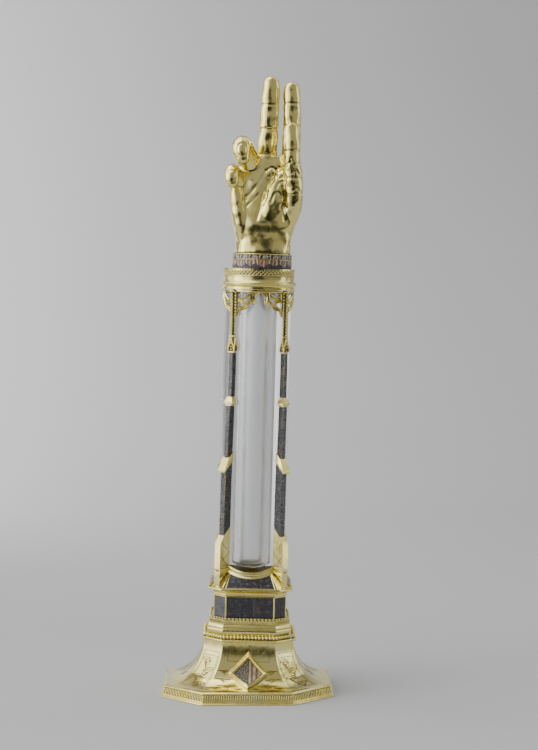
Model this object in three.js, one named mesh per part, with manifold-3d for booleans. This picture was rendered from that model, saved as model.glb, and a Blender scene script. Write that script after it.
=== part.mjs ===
// A standing arm reliquary: stepped octagonal foot, enamelled drum, crystal tube between four piers,
// collar, cuff and a blessing right hand. Millimetres, +Z up, the front looks along -Y.
// The origin is the middle of the underside of the foot.

import * as THREE from "three";
import { mergeVertices } from "three/addons/utils/BufferGeometryUtils.js";
import Module from "manifold-3d";

const wasm = await Module();
wasm.setup();

// Clearance left between pieces that touch
const gap = 0.3;

// How far joined shapes reach into one another, and cutters past a face
const overlap = 1;

// The body leans towards +X over the level foot, in degrees
const leanAngle = 1.63;

const foot = {
  width: 175,
  depth: 163,
  cornerCut: 41.5,
  flangeHeight: 1.5,
  flangeStep: 2.6,
  plinthHeight: 12,
  bandBottom: 2.8,
  bandTop: 9.6,
  bandSlope: 1.8,
  lipStep: 0.9,
  lipInset: 7.5,
  faceAtPlinth: 43.9,
  flarePower: 1.3,
  scoopLevels: 10,
  height: 58,
  plateHeight: 2.6,
  plateOverhang: 2.5,
};

// The foot narrows to this octagon under its top plate
const footNeck = { half: 45, face: 26.5 };

const lozenge = {
  middle: 43.5,
  reach: 32,
  halfWidth: 20.5,
  openingShare: 0.7,
  flankShare: 0.93,
  crestShare: 0.8,
  tipShare: 0.02,
  rise: 3.2,
  ridgeRise: 2.2,
  enamelRise: 1.3,
  stepsPerSide: 3,
};

const beads = { radius: 2.3, wireRadius: 0.9, pitch: 5.8, setBack: 2.2 };

// Neck mouldings between the bead row and the drum
const neck = {
  half: 43.2,
  face: 27.4,
  plainHeight: 5,
  bandHeight: 4.2,
  grooveDepth: 0.9,
  grooveHeight: 1,
  upperBandHeight: 3.6,
  ribbedHeight: 3.6,
  stepIn: 2.3,
};

const cresting = { pitch: 8.4, height: 2.6, thickness: 1, share: 0.5 };

const drum = { half: 36.7, face: 24.7, height: 23.4, stripWidth: 1.3, fieldDepth: 1.5 };

const enamelThickness = 1;

const cornice = {
  half: 42.6,
  face: 29.4,
  filletHeight: 1.6,
  sweepHeight: 4.4,
  noseHeight: 1.8,
  sweepSteps: 3,
};

// The sloping roof round the crystal's foot
const shoulder = {
  setBack: 0.7,
  rise: 19,
  topHalf: 28.9,
  topFace: 18.9,
  borderWidth: 1.2,
  hipWidth: 3.4,
  fieldDepth: 1.3,
  webHeight: 1.3,
  lipWidth: 2.4,
  lipRise: 1.8,
};

const crystal = {
  radiusBottom: 34.5,
  radiusTop: 34,
  length: 304,
  boreRadius: 12.6,
  boreFloor: 17.4,
  boreFloorDepth: 6.5,
  edgeBevel: 0.8,
  sides: 32,
  boreSides: 20,
  boreFloorSteps: 4,
};

const piers = {
  count: 4,
  firstAngle: -45,
  baseReach: 48.4,
  baseWidth: 7.8,
  baseHeight: 42.4,
  baseSlopeHeight: 8,
  stringHeight: 15.4,
  stringThickness: 1.5,
  stringOverhang: 0.7,
};

const lowerStage = { reach: 43.8, width: 6.4 };
const middleStage = { reach: 41.2, width: 5.3 };
const upperStage = { reach: 39.6, width: 5 };

// The big slanted weathering between the lower and the middle stage
const dripCap = {
  lowestHeight: 114.4,
  reach: 47.1,
  width: 10.7,
  topWidth: 9,
  fascia: 1.6,
  topSetBack: 5.9,
  topRise: 14.5,
};

const setOff = {
  bottomHeight: 181.9,
  reach: 42.2,
  width: 13,
  thickness: 1.3,
  overhang: 2,
  moulding: 2.3,
  rise: 6.8,
};

const gablet = {
  bottomHeight: 235.4,
  width: 10.6,
  depth: 4.4,
  thickness: 2,
  wallHeight: 7,
  peakHeight: 15,
  tableHeight: 2,
};

const pinnacle = { width: 3.6, neckWidth: 2.6, pitch: 7.2 };

// Pierced tracery round the crystal's top
const arcade = {
  thickness: 1.3,
  height: 28.5,
  frieze: 3.8,
  crown: 27,
  cuspX: 5.2,
  cuspHeight: 16.3,
  outerCuspX: 12.8,
  outerCuspHeight: 12.3,
  lobeSag: 2.8,
  crownSetBack: 0.4,
  crownLift: 1,
  haunchDrop: 2.2,
  footWidth: 3.2,
  lobeSteps: 2,
  sides: 24,
};

// Openings in one spandrel: [distance in from the bay's edge, distance below the frieze]
const spandrels = [
  [
    [3.6, 0],
    [3.6, 8.5],
    [10.6, 0],
  ],
  [
    [13.1, 0.4],
    [4.2, 11.2],
    [11, 9],
  ],
  [
    [19.1, 1.2],
    [15.5, 1.6],
    [17.5, 6.4],
  ],
];

// Round collar that caps the crystal
const collar = {
  radius: 38.7,
  socketDepth: 3,
  lowerRadius: 36.9,
  lowerHeight: 3,
  noseHeight: 3,
  sweepHeight: 4.2,
  filletRadius: 36.2,
  filletHeight: 3,
  noseSetBack: 0.6,
  sweepSetBack: 0.8,
};

const gallery = {
  radius: 36.4,
  thickness: 1.3,
  height: 7.8,
  rail: 1.1,
  columns: 16,
  rows: 2,
  openingShare: 0.72,
};

const cuff = {
  halfWidth: 30.4,
  halfDepth: 25,
  centreX: 2.6,
  height: 23,
  baseHeight: 8.4,
  beadHeight: 1.1,
  beadRise: 0.5,
  bandShare: 0.52,
  sides: 26,
};

// The hand is a free form: its points are drawn on a hand this high and scaled to the named height
const hand = {
  height: 183,
  drawnHeight: 183,
  fingerSides: 8,
  palmSides: 16,
  squareness: 0.8,
  tipAngles: [30, 55, 76],
};

const shade = (values) => new THREE.MeshStandardMaterial(values);
const gilt = () => shade({ color: 0xc9b45a, roughness: 0.28, metalness: 1 });
const enamel = () => shade({ color: 0x1c1b2c, roughness: 0.3, metalness: 0 });
const stripedEnamel = () => shade({ color: 0x8a6a58, roughness: 0.35, metalness: 0 });
const rockCrystal = () => shade({ color: 0xe8ecf0, roughness: 0.05, transparent: true, opacity: 0.35 });

// Heights of the pieces above one another, along the leaning axis
const neckBottom = foot.height + gap;
const neckHeight =
  neck.plainHeight + neck.bandHeight + 2 * neck.grooveHeight + neck.upperBandHeight + neck.ribbedHeight;
const drumBottom = neckBottom + neckHeight + gap;
const corniceBottom = drumBottom + drum.height + gap;
const corniceHeight = cornice.filletHeight + cornice.sweepHeight + cornice.noseHeight;
const shoulderBottom = corniceBottom + corniceHeight + gap;
const crystalBottom = shoulderBottom;
const crystalTop = crystalBottom + crystal.length;
const pierFoot = shoulderBottom + shoulder.webHeight + gap;
const pierInner = crystal.radiusBottom + gap;
const collarBottom = crystalTop - collar.socketDepth;
const collarTop =
  collarBottom + collar.lowerHeight + collar.noseHeight + collar.sweepHeight + collar.filletHeight;
const arcadeBottom = collarBottom - gap - arcade.height;
const galleryBottom = collarTop + gap;
const cuffBottom = collarTop + gap;
const handBottom = cuffBottom + cuff.height + gap;

// Geometry helpers

// Turns a closed geometry into a solid for joining and cutting, with its faces outwards.
function solidOf(geometry) {
  const bare = geometry.clone();
  bare.deleteAttribute("normal");
  bare.deleteAttribute("uv");
  const merged = mergeVertices(bare, 1e-4);
  const index = merged.index.array;
  const kept = [];
  for (let i = 0; i < index.length; i += 3) {
    const [a, b, c] = [index[i], index[i + 1], index[i + 2]];
    if (a !== b && b !== c && c !== a) kept.push(a, b, c);
  }
  const vertProperties = new Float32Array(merged.attributes.position.array);
  const outward = new wasm.Manifold(
    new wasm.Mesh({ numProp: 3, vertProperties, triVerts: new Uint32Array(kept) }),
  );
  if (outward.volume() > 0) return outward;
  const turned = [];
  for (let i = 0; i < kept.length; i += 3) turned.push(kept[i], kept[i + 2], kept[i + 1]);
  return new wasm.Manifold(new wasm.Mesh({ numProp: 3, vertProperties, triVerts: new Uint32Array(turned) }));
}

function geometryOf(solid) {
  const mesh = solid.getMesh();
  const geometry = new THREE.BufferGeometry();
  geometry.setAttribute("position", new THREE.BufferAttribute(new Float32Array(mesh.vertProperties), 3));
  geometry.setIndex(new THREE.BufferAttribute(new Uint32Array(mesh.triVerts), 1));
  geometry.computeVertexNormals();
  return geometry;
}

function join(geometries) {
  return geometryOf(geometries.map(solidOf).reduce((whole, piece) => whole.add(piece)));
}

function cut(geometry, tools) {
  return geometryOf(tools.map(solidOf).reduce((whole, tool) => whole.subtract(tool), solidOf(geometry)));
}

function common(first, second) {
  return geometryOf(solidOf(first).intersect(solidOf(second)));
}

// A mesh from corner points and triangles.
function meshOf(points, faces) {
  const geometry = new THREE.BufferGeometry();
  geometry.setAttribute("position", new THREE.Float32BufferAttribute(points.flat(), 3));
  geometry.setIndex(faces);
  return geometryOf(solidOf(geometry));
}

// Skin between neighbouring rings of points. An open stack is capped at both ends; a loop closes on itself.
function loft(rings, loop = false) {
  const count = rings[0].length;
  const points = rings.flat();
  const faces = [];
  const levels = loop ? rings.length : rings.length - 1;
  for (let level = 0; level < levels; level++) {
    const low = level * count;
    const high = ((level + 1) % rings.length) * count;
    for (let i = 0; i < count; i++) {
      const next = (i + 1) % count;
      faces.push(low + i, low + next, high + next, low + i, high + next, high + i);
    }
  }
  if (!loop) {
    const last = (rings.length - 1) * count;
    for (let i = 1; i < count - 1; i++) {
      faces.push(0, i + 1, i, last, last + i, last + i + 1);
    }
  }
  return meshOf(points, faces);
}

// Eight corners, counter-clockwise from above: half sizes along X and Y and the cut at each corner.
function octagon({ halfX, halfY, corner }, z) {
  return [
    [halfX, -(halfY - corner), z],
    [halfX, halfY - corner, z],
    [halfX - corner, halfY, z],
    [-(halfX - corner), halfY, z],
    [-halfX, halfY - corner, z],
    [-halfX, -(halfY - corner), z],
    [-(halfX - corner), -halfY, z],
    [halfX - corner, -halfY, z],
  ];
}

// A plan with four equal long faces: half the width across them and half the length of one.
function evenPlan({ half, face }) {
  return { halfX: half, halfY: half, corner: half - face };
}

// The same plan with every face moved outwards by one distance.
function grown({ halfX, halfY, corner }, distance) {
  const cornerChange = distance * (2 - Math.SQRT2);
  return { halfX: halfX + distance, halfY: halfY + distance, corner: corner + cornerChange };
}

// A plan between two others, by a share from 0 to 1.
function between(first, second, share) {
  const mix = (key) => first[key] + (second[key] - first[key]) * share;
  return { halfX: mix("halfX"), halfY: mix("halfY"), corner: mix("corner") };
}

// Turns a profile of [radius, height] round the upright axis.
function turned(profile, sides) {
  const points = profile.map(([radius, height]) => new THREE.Vector2(radius, height));
  const lathe = new THREE.LatheGeometry(points, sides);
  lathe.rotateX(Math.PI / 2);
  return geometryOf(solidOf(lathe));
}

// A flat outline of [across, height], extruded along Y to a width and centred on it.
function sideways(outline, width) {
  const shape = new THREE.Shape(outline.map(([across, height]) => new THREE.Vector2(across, height)));
  const geometry = new THREE.ExtrudeGeometry(shape, { depth: width, bevelEnabled: false, curveSegments: 6 });
  geometry.rotateX(Math.PI / 2);
  geometry.translate(0, width / 2, 0);
  return geometry;
}

// A box between two corners.
function block([x0, y0, z0], [x1, y1, z1]) {
  const geometry = new THREE.BoxGeometry(x1 - x0, y1 - y0, z1 - z0);
  geometry.translate((x0 + x1) / 2, (y0 + y1) / 2, (z0 + z1) / 2);
  return geometry;
}

// Copies of a geometry turned about the upright axis by each angle, in degrees.
function around(geometry, angles) {
  return angles.map((angle) => geometry.clone().rotateZ(THREE.MathUtils.degToRad(angle)));
}

const faceAngles = [0, 90, 180, 270];

// Foot

// The concave side as a quarter ellipse: 0 degrees at the neck, 90 degrees at the plinth.
function scoopPlan(angle) {
  const outwards = 1 - Math.cos(angle);
  const plinthX = foot.width / 2 - foot.lipInset;
  const plinthY = foot.depth / 2 - foot.lipInset;
  const halfX = footNeck.half + (plinthX - footNeck.half) * outwards;
  const halfY = footNeck.half + (plinthY - footNeck.half) * outwards;
  const flare = 1 - Math.cos(angle) ** foot.flarePower;
  const face = footNeck.face + (foot.faceAtPlinth - footNeck.face) * flare;
  return { halfX, halfY, corner: halfX - face };
}

function scoopHeight(angle) {
  const neckHeightAbove = foot.height - foot.plateHeight;
  return neckHeightAbove - (neckHeightAbove - foot.plinthHeight) * Math.sin(angle);
}

// Leans a point about the origin by a share of the whole lean.
function leant([x, y, z], share) {
  const angle = THREE.MathUtils.degToRad(leanAngle) * share;
  return [x * Math.cos(angle) + z * Math.sin(angle), y, z * Math.cos(angle) - x * Math.sin(angle)];
}

function footBody() {
  const base = { halfX: foot.width / 2, halfY: foot.depth / 2, corner: foot.cornerCut };
  const bandInset = foot.flangeStep + foot.bandSlope;
  const rings = [
    octagon(base, 0),
    octagon(base, foot.flangeHeight),
    octagon(grown(base, -foot.flangeStep), foot.bandBottom),
    octagon(grown(base, -bandInset), foot.bandTop),
    octagon(grown(base, foot.lipStep - bandInset), foot.bandTop + foot.lipStep),
    octagon(grown(base, foot.lipStep - bandInset), foot.plinthHeight),
  ];
  for (let level = 0; level <= foot.scoopLevels; level++) {
    const angle = (Math.PI / 2) * (1 - level / foot.scoopLevels);
    const ring = octagon(scoopPlan(angle), scoopHeight(angle));
    rings.push(ring.map((point) => leant(point, Math.cos(angle))));
  }
  const plate = grown(evenPlan(footNeck), foot.plateOverhang);
  const plateBottom = foot.height - foot.plateHeight / 2;
  rings.push(octagon(plate, plateBottom).map((point) => leant(point, 1)));
  rings.push(octagon(plate, foot.height).map((point) => leant(point, 1)));
  return loft(rings);
}

// A point over the front face of the foot: along X, down the scoop in degrees, and out from the metal.
function overFoot(x, angleDegrees, out) {
  const angle = THREE.MathUtils.degToRad(angleDegrees);
  const fallHeight = foot.height - foot.plateHeight - foot.plinthHeight;
  const fallDepth = foot.depth / 2 - foot.lipInset - footNeck.half;
  const normal = new THREE.Vector2(fallHeight * Math.cos(angle), fallDepth * Math.sin(angle)).normalize();
  const y = -(scoopPlan(angle).halfY + out * normal.x);
  const z = scoopHeight(angle) + out * normal.y;
  return leant([x, y, z], Math.cos(angle));
}

// Raised frame: a stepped section carried round the lozenge, standing on the curved metal.
function lozengeFrame() {
  const section = [
    [1, gap],
    [1, lozenge.ridgeRise],
    [lozenge.flankShare, lozenge.rise],
    [lozenge.crestShare, lozenge.rise],
    [lozenge.openingShare, lozenge.ridgeRise],
    [lozenge.openingShare, gap],
  ];
  const corners = [
    [1, 0],
    [0, 1],
    [-1, 0],
    [0, -1],
  ];
  const rings = [];
  corners.forEach((corner, side) => {
    const next = corners[(side + 1) % corners.length];
    for (let step = 0; step < lozenge.stepsPerSide; step++) {
      const share = step / lozenge.stepsPerSide;
      const across = corner[0] + (next[0] - corner[0]) * share;
      const down = corner[1] + (next[1] - corner[1]) * share;
      rings.push(
        section.map(([size, out]) =>
          overFoot(across * size * lozenge.halfWidth, lozenge.middle + down * size * lozenge.reach, out),
        ),
      );
    }
  });
  return loft(rings, true);
}

// Enamel inside the frame: strips across the lozenge from its top to its bottom.
function lozengeEnamel() {
  const steps = 2 * lozenge.stepsPerSide;
  const size = lozenge.openingShare - lozenge.tipShare;
  const rings = [];
  for (let step = 0; step <= steps; step++) {
    const down = -1 + (2 * step) / steps;
    const halfWidth = Math.max(1 - Math.abs(down), lozenge.tipShare) * size * lozenge.halfWidth;
    const angle = lozenge.middle + down * size * lozenge.reach;
    rings.push([
      overFoot(-halfWidth, angle, gap),
      overFoot(halfWidth, angle, gap),
      overFoot(halfWidth, angle, lozenge.enamelRise),
      overFoot(-halfWidth, angle, lozenge.enamelRise),
    ]);
  }
  return loft(rings);
}

// The same piece on the opposite face, mirrored through the plane of X and Z so that it leans the same way.
function onBack(geometry) {
  const mirrored = geometry.clone();
  const position = mirrored.attributes.position;
  for (let i = 0; i < position.count; i++) position.setY(i, -position.getY(i));
  return geometryOf(solidOf(mirrored));
}

// Bead row and neck

// Points spread evenly along an octagon's sides, with the outward direction at each.
function alongPlan(plan, pitch, z) {
  const corners = octagon(plan, z).map((corner) => new THREE.Vector3(...corner));
  const places = [];
  corners.forEach((corner, side) => {
    const next = corners[(side + 1) % corners.length];
    const length = corner.distanceTo(next);
    const count = Math.max(1, Math.round(length / pitch));
    const direction = next.clone().sub(corner).normalize();
    for (let i = 0; i < count; i++) {
      const point = corner.clone().addScaledVector(direction, ((i + 0.5) * length) / count);
      places.push({ point, angle: Math.atan2(direction.y, direction.x) });
    }
  });
  return places;
}

// The octagon that runs through the middle of every bead.
function beadLine() {
  const edge = grown(evenPlan(footNeck), foot.plateOverhang);
  return grown(edge, -beads.setBack);
}

// The bead row as one closed string: it swells at every bead and shrinks to the wire between them.
function beadRow() {
  const height = neckBottom + beads.radius;
  const rings = [];
  const section = (point, angle, radius) => {
    const outward = new THREE.Vector3(Math.sin(angle), -Math.cos(angle), 0);
    const up = new THREE.Vector3(0, 0, radius);
    const out = outward.multiplyScalar(radius);
    const steps = [out, up, out.clone().negate(), up.clone().negate()];
    return steps.map((step) => point.clone().add(step).toArray());
  };
  const places = alongPlan(beadLine(), beads.pitch, height);
  places.forEach(({ point, angle }, i) => {
    const next = places[(i + 1) % places.length];
    const halfway = point.clone().lerp(next.point, 0.5);
    const turn = Math.atan2(Math.sin(next.angle - angle), Math.cos(next.angle - angle));
    rings.push(section(point, angle, beads.radius));
    rings.push(section(halfway, angle + turn / 2, beads.wireRadius));
  });
  return loft(rings, true);
}

// Stepped mouldings: a plain bottom that leaves room for the bead row, then bands between grooves.
function neckMoulding() {
  const low = evenPlan(neck);
  const beadRoom = grown(beadLine(), -beads.radius - gap);
  const wide = grown(low, -neck.grooveDepth);
  const high = grown(low, -neck.grooveDepth - neck.stepIn);
  const groove = (plan) => grown(plan, -neck.grooveDepth);
  let z = neckBottom;
  const rings = [octagon(beadRoom, z)];
  z += neck.plainHeight;
  rings.push(octagon(beadRoom, z), octagon(wide, z));
  z += neck.bandHeight;
  rings.push(octagon(wide, z), octagon(groove(wide), z));
  z += neck.grooveHeight;
  rings.push(octagon(groove(wide), z));
  const upper = grown(wide, -neck.grooveDepth / 2);
  rings.push(octagon(upper, z));
  z += neck.upperBandHeight;
  rings.push(octagon(grown(high, neck.grooveDepth / 2), z));
  z += neck.grooveHeight;
  rings.push(octagon(high, z));
  z += neck.ribbedHeight;
  rings.push(octagon(high, z));
  const pieces = [loft(rings)];
  const crestPlan = grown(high, -cresting.thickness / 2);
  const toothWidth = cresting.pitch * cresting.share;
  for (const { point, angle } of alongPlan(crestPlan, cresting.pitch, z)) {
    const tooth = block(
      [-toothWidth / 2, -cresting.thickness / 2, -cresting.thickness],
      [toothWidth / 2, cresting.thickness / 2, cresting.height],
    );
    tooth.rotateZ(angle);
    tooth.translate(point.x, point.y, point.z);
    pieces.push(tooth);
  }
  return join(pieces);
}

// Drum

// The eight faces of the drum: outward angle, distance from the axis and width.
function drumFaces() {
  const corner = drum.half - drum.face;
  const diagonalDistance = (drum.half + drum.face) / Math.SQRT2;
  return Array.from({ length: 8 }, (unused, i) => {
    const straight = i % 2 === 0;
    return {
      angle: -90 + 45 * i,
      distance: straight ? drum.half : diagonalDistance,
      width: straight ? 2 * drum.face : corner * Math.SQRT2,
    };
  });
}

// A slab lying against a drum face, drawn for the face that looks along +X.
function drumSlab({ distance, width }, sideGap, inner, outer, endGap) {
  const halfWidth = width / 2 - drum.stripWidth / 2 - sideGap;
  return block(
    [distance - inner, -halfWidth, drumBottom + endGap],
    [distance + outer, halfWidth, drumBottom + drum.height - endGap],
  );
}

function drumBody() {
  const plan = evenPlan(drum);
  const body = loft([octagon(plan, drumBottom), octagon(plan, drumBottom + drum.height)]);
  const fields = drumFaces().map((face) =>
    around(drumSlab(face, 0, drum.fieldDepth, 1, drum.stripWidth / 2), [face.angle])[0],
  );
  return cut(body, fields);
}

function drumPlate(face) {
  const inner = drum.fieldDepth - gap;
  const slab = drumSlab(face, gap, inner, enamelThickness - inner, drum.stripWidth / 2 + gap);
  return around(slab, [face.angle])[0];
}

// Cornice and shoulder

function corniceBody() {
  const low = evenPlan(drum);
  const nose = evenPlan(cornice);
  const rings = [octagon(low, corniceBottom), octagon(low, corniceBottom + cornice.filletHeight)];
  for (let step = 1; step <= cornice.sweepSteps; step++) {
    const angle = (Math.PI / 2) * (step / cornice.sweepSteps);
    const z = corniceBottom + cornice.filletHeight + cornice.sweepHeight * Math.sin(angle);
    rings.push(octagon(between(low, nose, 1 - Math.cos(angle)), z));
  }
  rings.push(octagon(nose, corniceBottom + corniceHeight));
  return loft(rings);
}

function shoulderPlans() {
  const low = grown(evenPlan(cornice), -shoulder.setBack);
  const high = evenPlan({ half: shoulder.topHalf, face: shoulder.topFace });
  return { low, high };
}

// The roof's slope in its long faces: how far it comes in for its whole rise.
function shoulderRun() {
  const { low, high } = shoulderPlans();
  return low.halfX - high.halfX;
}

// Height of the roof's long face at a distance from the axis.
function roofHeight(distance) {
  const { low } = shoulderPlans();
  return shoulderBottom + ((low.halfX - distance) * shoulder.rise) / shoulderRun();
}

// A solid over the roof face towards +X, drawn in by a border: from below the slope to above it.
function fieldSolid(border, below, above) {
  const { low, high } = shoulderPlans();
  const bottomFace = low.halfX - low.corner - border.side;
  const topFace = high.halfX - high.corner - border.side;
  const corners = [
    [low.halfX - border.bottom, -bottomFace],
    [low.halfX - border.bottom, bottomFace],
    [high.halfX, topFace],
    [high.halfX, -topFace],
  ];
  const level = (offset) =>
    corners.map(([distance, side]) => [distance, side, roofHeight(distance) + offset]);
  return loft([level(-below), level(above)]);
}

function uprightCylinder(radius, bottom, top) {
  return turned(
    [
      [0, bottom],
      [radius, bottom],
      [radius, top],
      [0, top],
    ],
    crystal.sides,
  );
}

// Room for a pier through the roof: it stops above the web that keeps the roof one ring.
function pierSlot() {
  const half = piers.baseWidth / 2 + gap;
  return block(
    [0, -half, pierFoot - gap],
    [piers.baseReach + shoulder.rise, half, shoulderBottom + 2 * shoulder.rise],
  );
}

const pierAngles = Array.from(
  { length: piers.count },
  (unused, i) => piers.firstAngle + (360 / piers.count) * i,
);

const fieldBorder = { side: shoulder.hipWidth, bottom: shoulder.borderWidth };
const plateBorder = { side: shoulder.hipWidth + gap, bottom: shoulder.borderWidth + gap };
const lipRadius = crystal.radiusBottom + gap + shoulder.lipWidth;

function shoulderBody() {
  const { low, high } = shoulderPlans();
  const top = shoulderBottom + shoulder.rise;
  const roof = loft([octagon(low, shoulderBottom), octagon(high, top)]);
  const field = fieldSolid(fieldBorder, shoulder.fieldDepth, shoulder.rise);
  const lipRing = uprightCylinder(lipRadius, shoulderBottom, top + shoulder.rise);
  const raisedRoof = loft([
    octagon(low, shoulderBottom),
    octagon(low, shoulderBottom + shoulder.lipRise),
    octagon(high, top + shoulder.lipRise),
  ]);
  const lip = common(raisedRoof, lipRing);
  const withFields = join([cut(roof, around(field, faceAngles)), lip]);
  const boreRadius = crystal.radiusBottom + gap;
  const bore = uprightCylinder(boreRadius, shoulderBottom - overlap, top + 2 * shoulder.rise);
  return cut(withFields, [bore, ...around(pierSlot(), pierAngles)]);
}

function shoulderPlate() {
  const below = shoulder.fieldDepth - gap;
  const slab = fieldSolid(plateBorder, below, enamelThickness - below);
  const top = shoulderBottom + 3 * shoulder.rise;
  return cut(slab, [uprightCylinder(lipRadius + gap, shoulderBottom - overlap, top)]);
}

// Crystal

function crystalBody() {
  const floor = crystalBottom + crystal.boreFloor;
  const outside = turned(
    [
      [0, crystalBottom],
      [crystal.radiusBottom - crystal.edgeBevel, crystalBottom],
      [crystal.radiusBottom, crystalBottom + crystal.edgeBevel],
      [crystal.radiusTop, crystalTop - crystal.edgeBevel],
      [crystal.radiusTop - crystal.edgeBevel, crystalTop],
      [0, crystalTop],
    ],
    crystal.sides,
  );
  const borePoints = [[0, floor]];
  for (let step = 1; step <= crystal.boreFloorSteps; step++) {
    const angle = (Math.PI / 2) * (step / crystal.boreFloorSteps);
    const rise = crystal.boreFloorDepth * (1 - Math.cos(angle));
    borePoints.push([crystal.boreRadius * Math.sin(angle), floor + rise]);
  }
  borePoints.push([crystal.boreRadius, crystalTop + overlap], [0, crystalTop + overlap]);
  return cut(outside, [turned(borePoints, crystal.boreSides)]);
}

// Piers, drawn standing out along +X and then turned to their places

const stageHeights = {
  baseTop: pierFoot + piers.baseHeight,
  baseShelf: pierFoot + piers.baseHeight + piers.baseSlopeHeight,
  cap: pierFoot + dripCap.lowestHeight,
  setOff: pierFoot + setOff.bottomHeight,
  gablet: pierFoot + gablet.bottomHeight,
};

// The slanted lines rise inwards at 45 degrees from a point of the outline.
function risingTo(reach, height) {
  return [pierInner, height + reach - pierInner];
}

function pierBase() {
  const { baseTop, baseShelf } = stageHeights;
  const body = sideways(
    [
      [pierInner, pierFoot],
      [piers.baseReach, pierFoot],
      [piers.baseReach, baseTop],
      [lowerStage.reach, baseShelf],
      risingTo(lowerStage.reach, baseShelf),
    ],
    piers.baseWidth,
  );
  const stringBottom = pierFoot + piers.stringHeight;
  const string = block(
    [piers.baseReach - overlap, -piers.baseWidth / 2 - piers.stringOverhang, stringBottom],
    [
      piers.baseReach + piers.stringOverhang,
      piers.baseWidth / 2 + piers.stringOverhang,
      stringBottom + piers.stringThickness,
    ],
  );
  return [body, string];
}

// The gilt core behind the enamel of one stage.
function stageCore({ reach, width }, bottom, top) {
  const half = width / 2 - enamelThickness - gap;
  return block([pierInner, -half, bottom], [reach - enamelThickness - gap, half, top]);
}

// A weathering with a wide bottom edge and a narrow top, between an outer and an inner line.
function weathering(outline, halfWidths) {
  const sides = [-1, 1].map((side) =>
    outline.map(([reach, height], i) => [reach, side * halfWidths[i], height]),
  );
  return loft(sides);
}

function pierCap() {
  const low = stageHeights.cap;
  const fasciaTop = low + dripCap.fascia;
  const half = dripCap.width / 2;
  const fascia = weathering(
    [
      [dripCap.reach, low],
      [dripCap.reach, fasciaTop],
      risingTo(dripCap.reach, fasciaTop),
      risingTo(dripCap.reach, low),
    ],
    [half, half, half, half],
  );
  const topReach = dripCap.reach - dripCap.topSetBack;
  const topHalf = dripCap.topWidth / 2;
  const roof = weathering(
    [
      [dripCap.reach - gap, fasciaTop - gap],
      [topReach, low + dripCap.topRise],
      risingTo(topReach, low + dripCap.topRise),
      risingTo(dripCap.reach - gap, fasciaTop - gap),
    ],
    [half - gap, topHalf, topHalf, half - gap],
  );
  return [fascia, roof];
}

function pierSetOff() {
  const low = stageHeights.setOff;
  const shelf = low + setOff.moulding;
  const half = setOff.width / 2;
  const moulding = block(
    [pierInner, -middleStage.width / 2 - setOff.overhang, low],
    [middleStage.reach + setOff.overhang / 4, middleStage.width / 2 + setOff.overhang, shelf],
  );
  const ring = (reach, halfWidth, z) => [
    [pierInner, -halfWidth, z],
    [reach, -halfWidth, z],
    [reach, halfWidth, z],
    [pierInner, halfWidth, z],
  ];
  const hip = loft([
    ring(setOff.reach, half, shelf),
    ring(setOff.reach, half, shelf + setOff.thickness),
    ring(upperStage.reach, upperStage.width / 2, shelf + setOff.rise),
  ]);
  return [moulding, hip];
}

// Three small gables, one outwards and one on each flank, on a little table.
function pierGablets() {
  const low = stageHeights.gablet;
  const shelf = low + gablet.tableHeight;
  const half = gablet.width / 2;
  const reach = pierInner + gablet.depth;
  const table = block(
    [pierInner, -half + gablet.thickness / 2, low],
    [reach, half - gablet.thickness / 2, shelf],
  );
  const gable = (width) => [
    [-width / 2, shelf - overlap],
    [width / 2, shelf - overlap],
    [width / 2, shelf + gablet.wallHeight / 2],
    [0, low + gablet.peakHeight],
    [-width / 2, shelf + gablet.wallHeight / 2],
  ];
  const outward = sideways(gable(gablet.width - 2 * gablet.thickness), gablet.thickness);
  outward.rotateZ(Math.PI / 2);
  outward.translate(reach, 0, 0);
  const flanks = [-1, 1].map((side) => {
    const flank = sideways(gable(gablet.depth), gablet.thickness);
    flank.translate(pierInner + gablet.depth / 2, side * (half - gablet.thickness), 0);
    return flank;
  });
  return [table, outward, ...flanks];
}

// The outer half of a square shaft set cornerwise, with a small crocket at every pitch on its edges.
// It stands clear of the tracery behind it.
function pierPinnacle() {
  const low = stageHeights.gablet + gablet.tableHeight - overlap;
  const top = collarBottom - gap;
  const count = Math.floor((top - low) / pinnacle.pitch);
  const back = pierInner + arcade.thickness + gap;
  const ring = (width, z) => {
    const reach = width / Math.SQRT2;
    return [
      [back + reach, 0, z],
      [back, reach, z],
      [back, -reach, z],
    ];
  };
  const rings = [ring(pinnacle.neckWidth, low)];
  for (let i = 0; i < count; i++) {
    const z = low + (i + 0.5) * pinnacle.pitch;
    rings.push(ring(pinnacle.width, z), ring(pinnacle.neckWidth, z + pinnacle.pitch / 2));
  }
  rings.push(ring(pinnacle.neckWidth, top));
  return loft(rings);
}

function pierBody() {
  const { baseTop, cap, setOff: setOffHeight, gablet: gabletHeight } = stageHeights;
  const capInside = cap + dripCap.reach - pierInner;
  const pieces = [
    ...pierBase(),
    stageCore(lowerStage, baseTop, cap + dripCap.topRise / 2),
    ...pierCap(),
    stageCore(middleStage, capInside - dripCap.topRise / 2, setOffHeight + overlap),
    ...pierSetOff(),
    stageCore(upperStage, setOffHeight + setOff.moulding, gabletHeight + overlap),
    ...pierGablets(),
    pierPinnacle(),
  ];
  return join(pieces);
}

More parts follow.
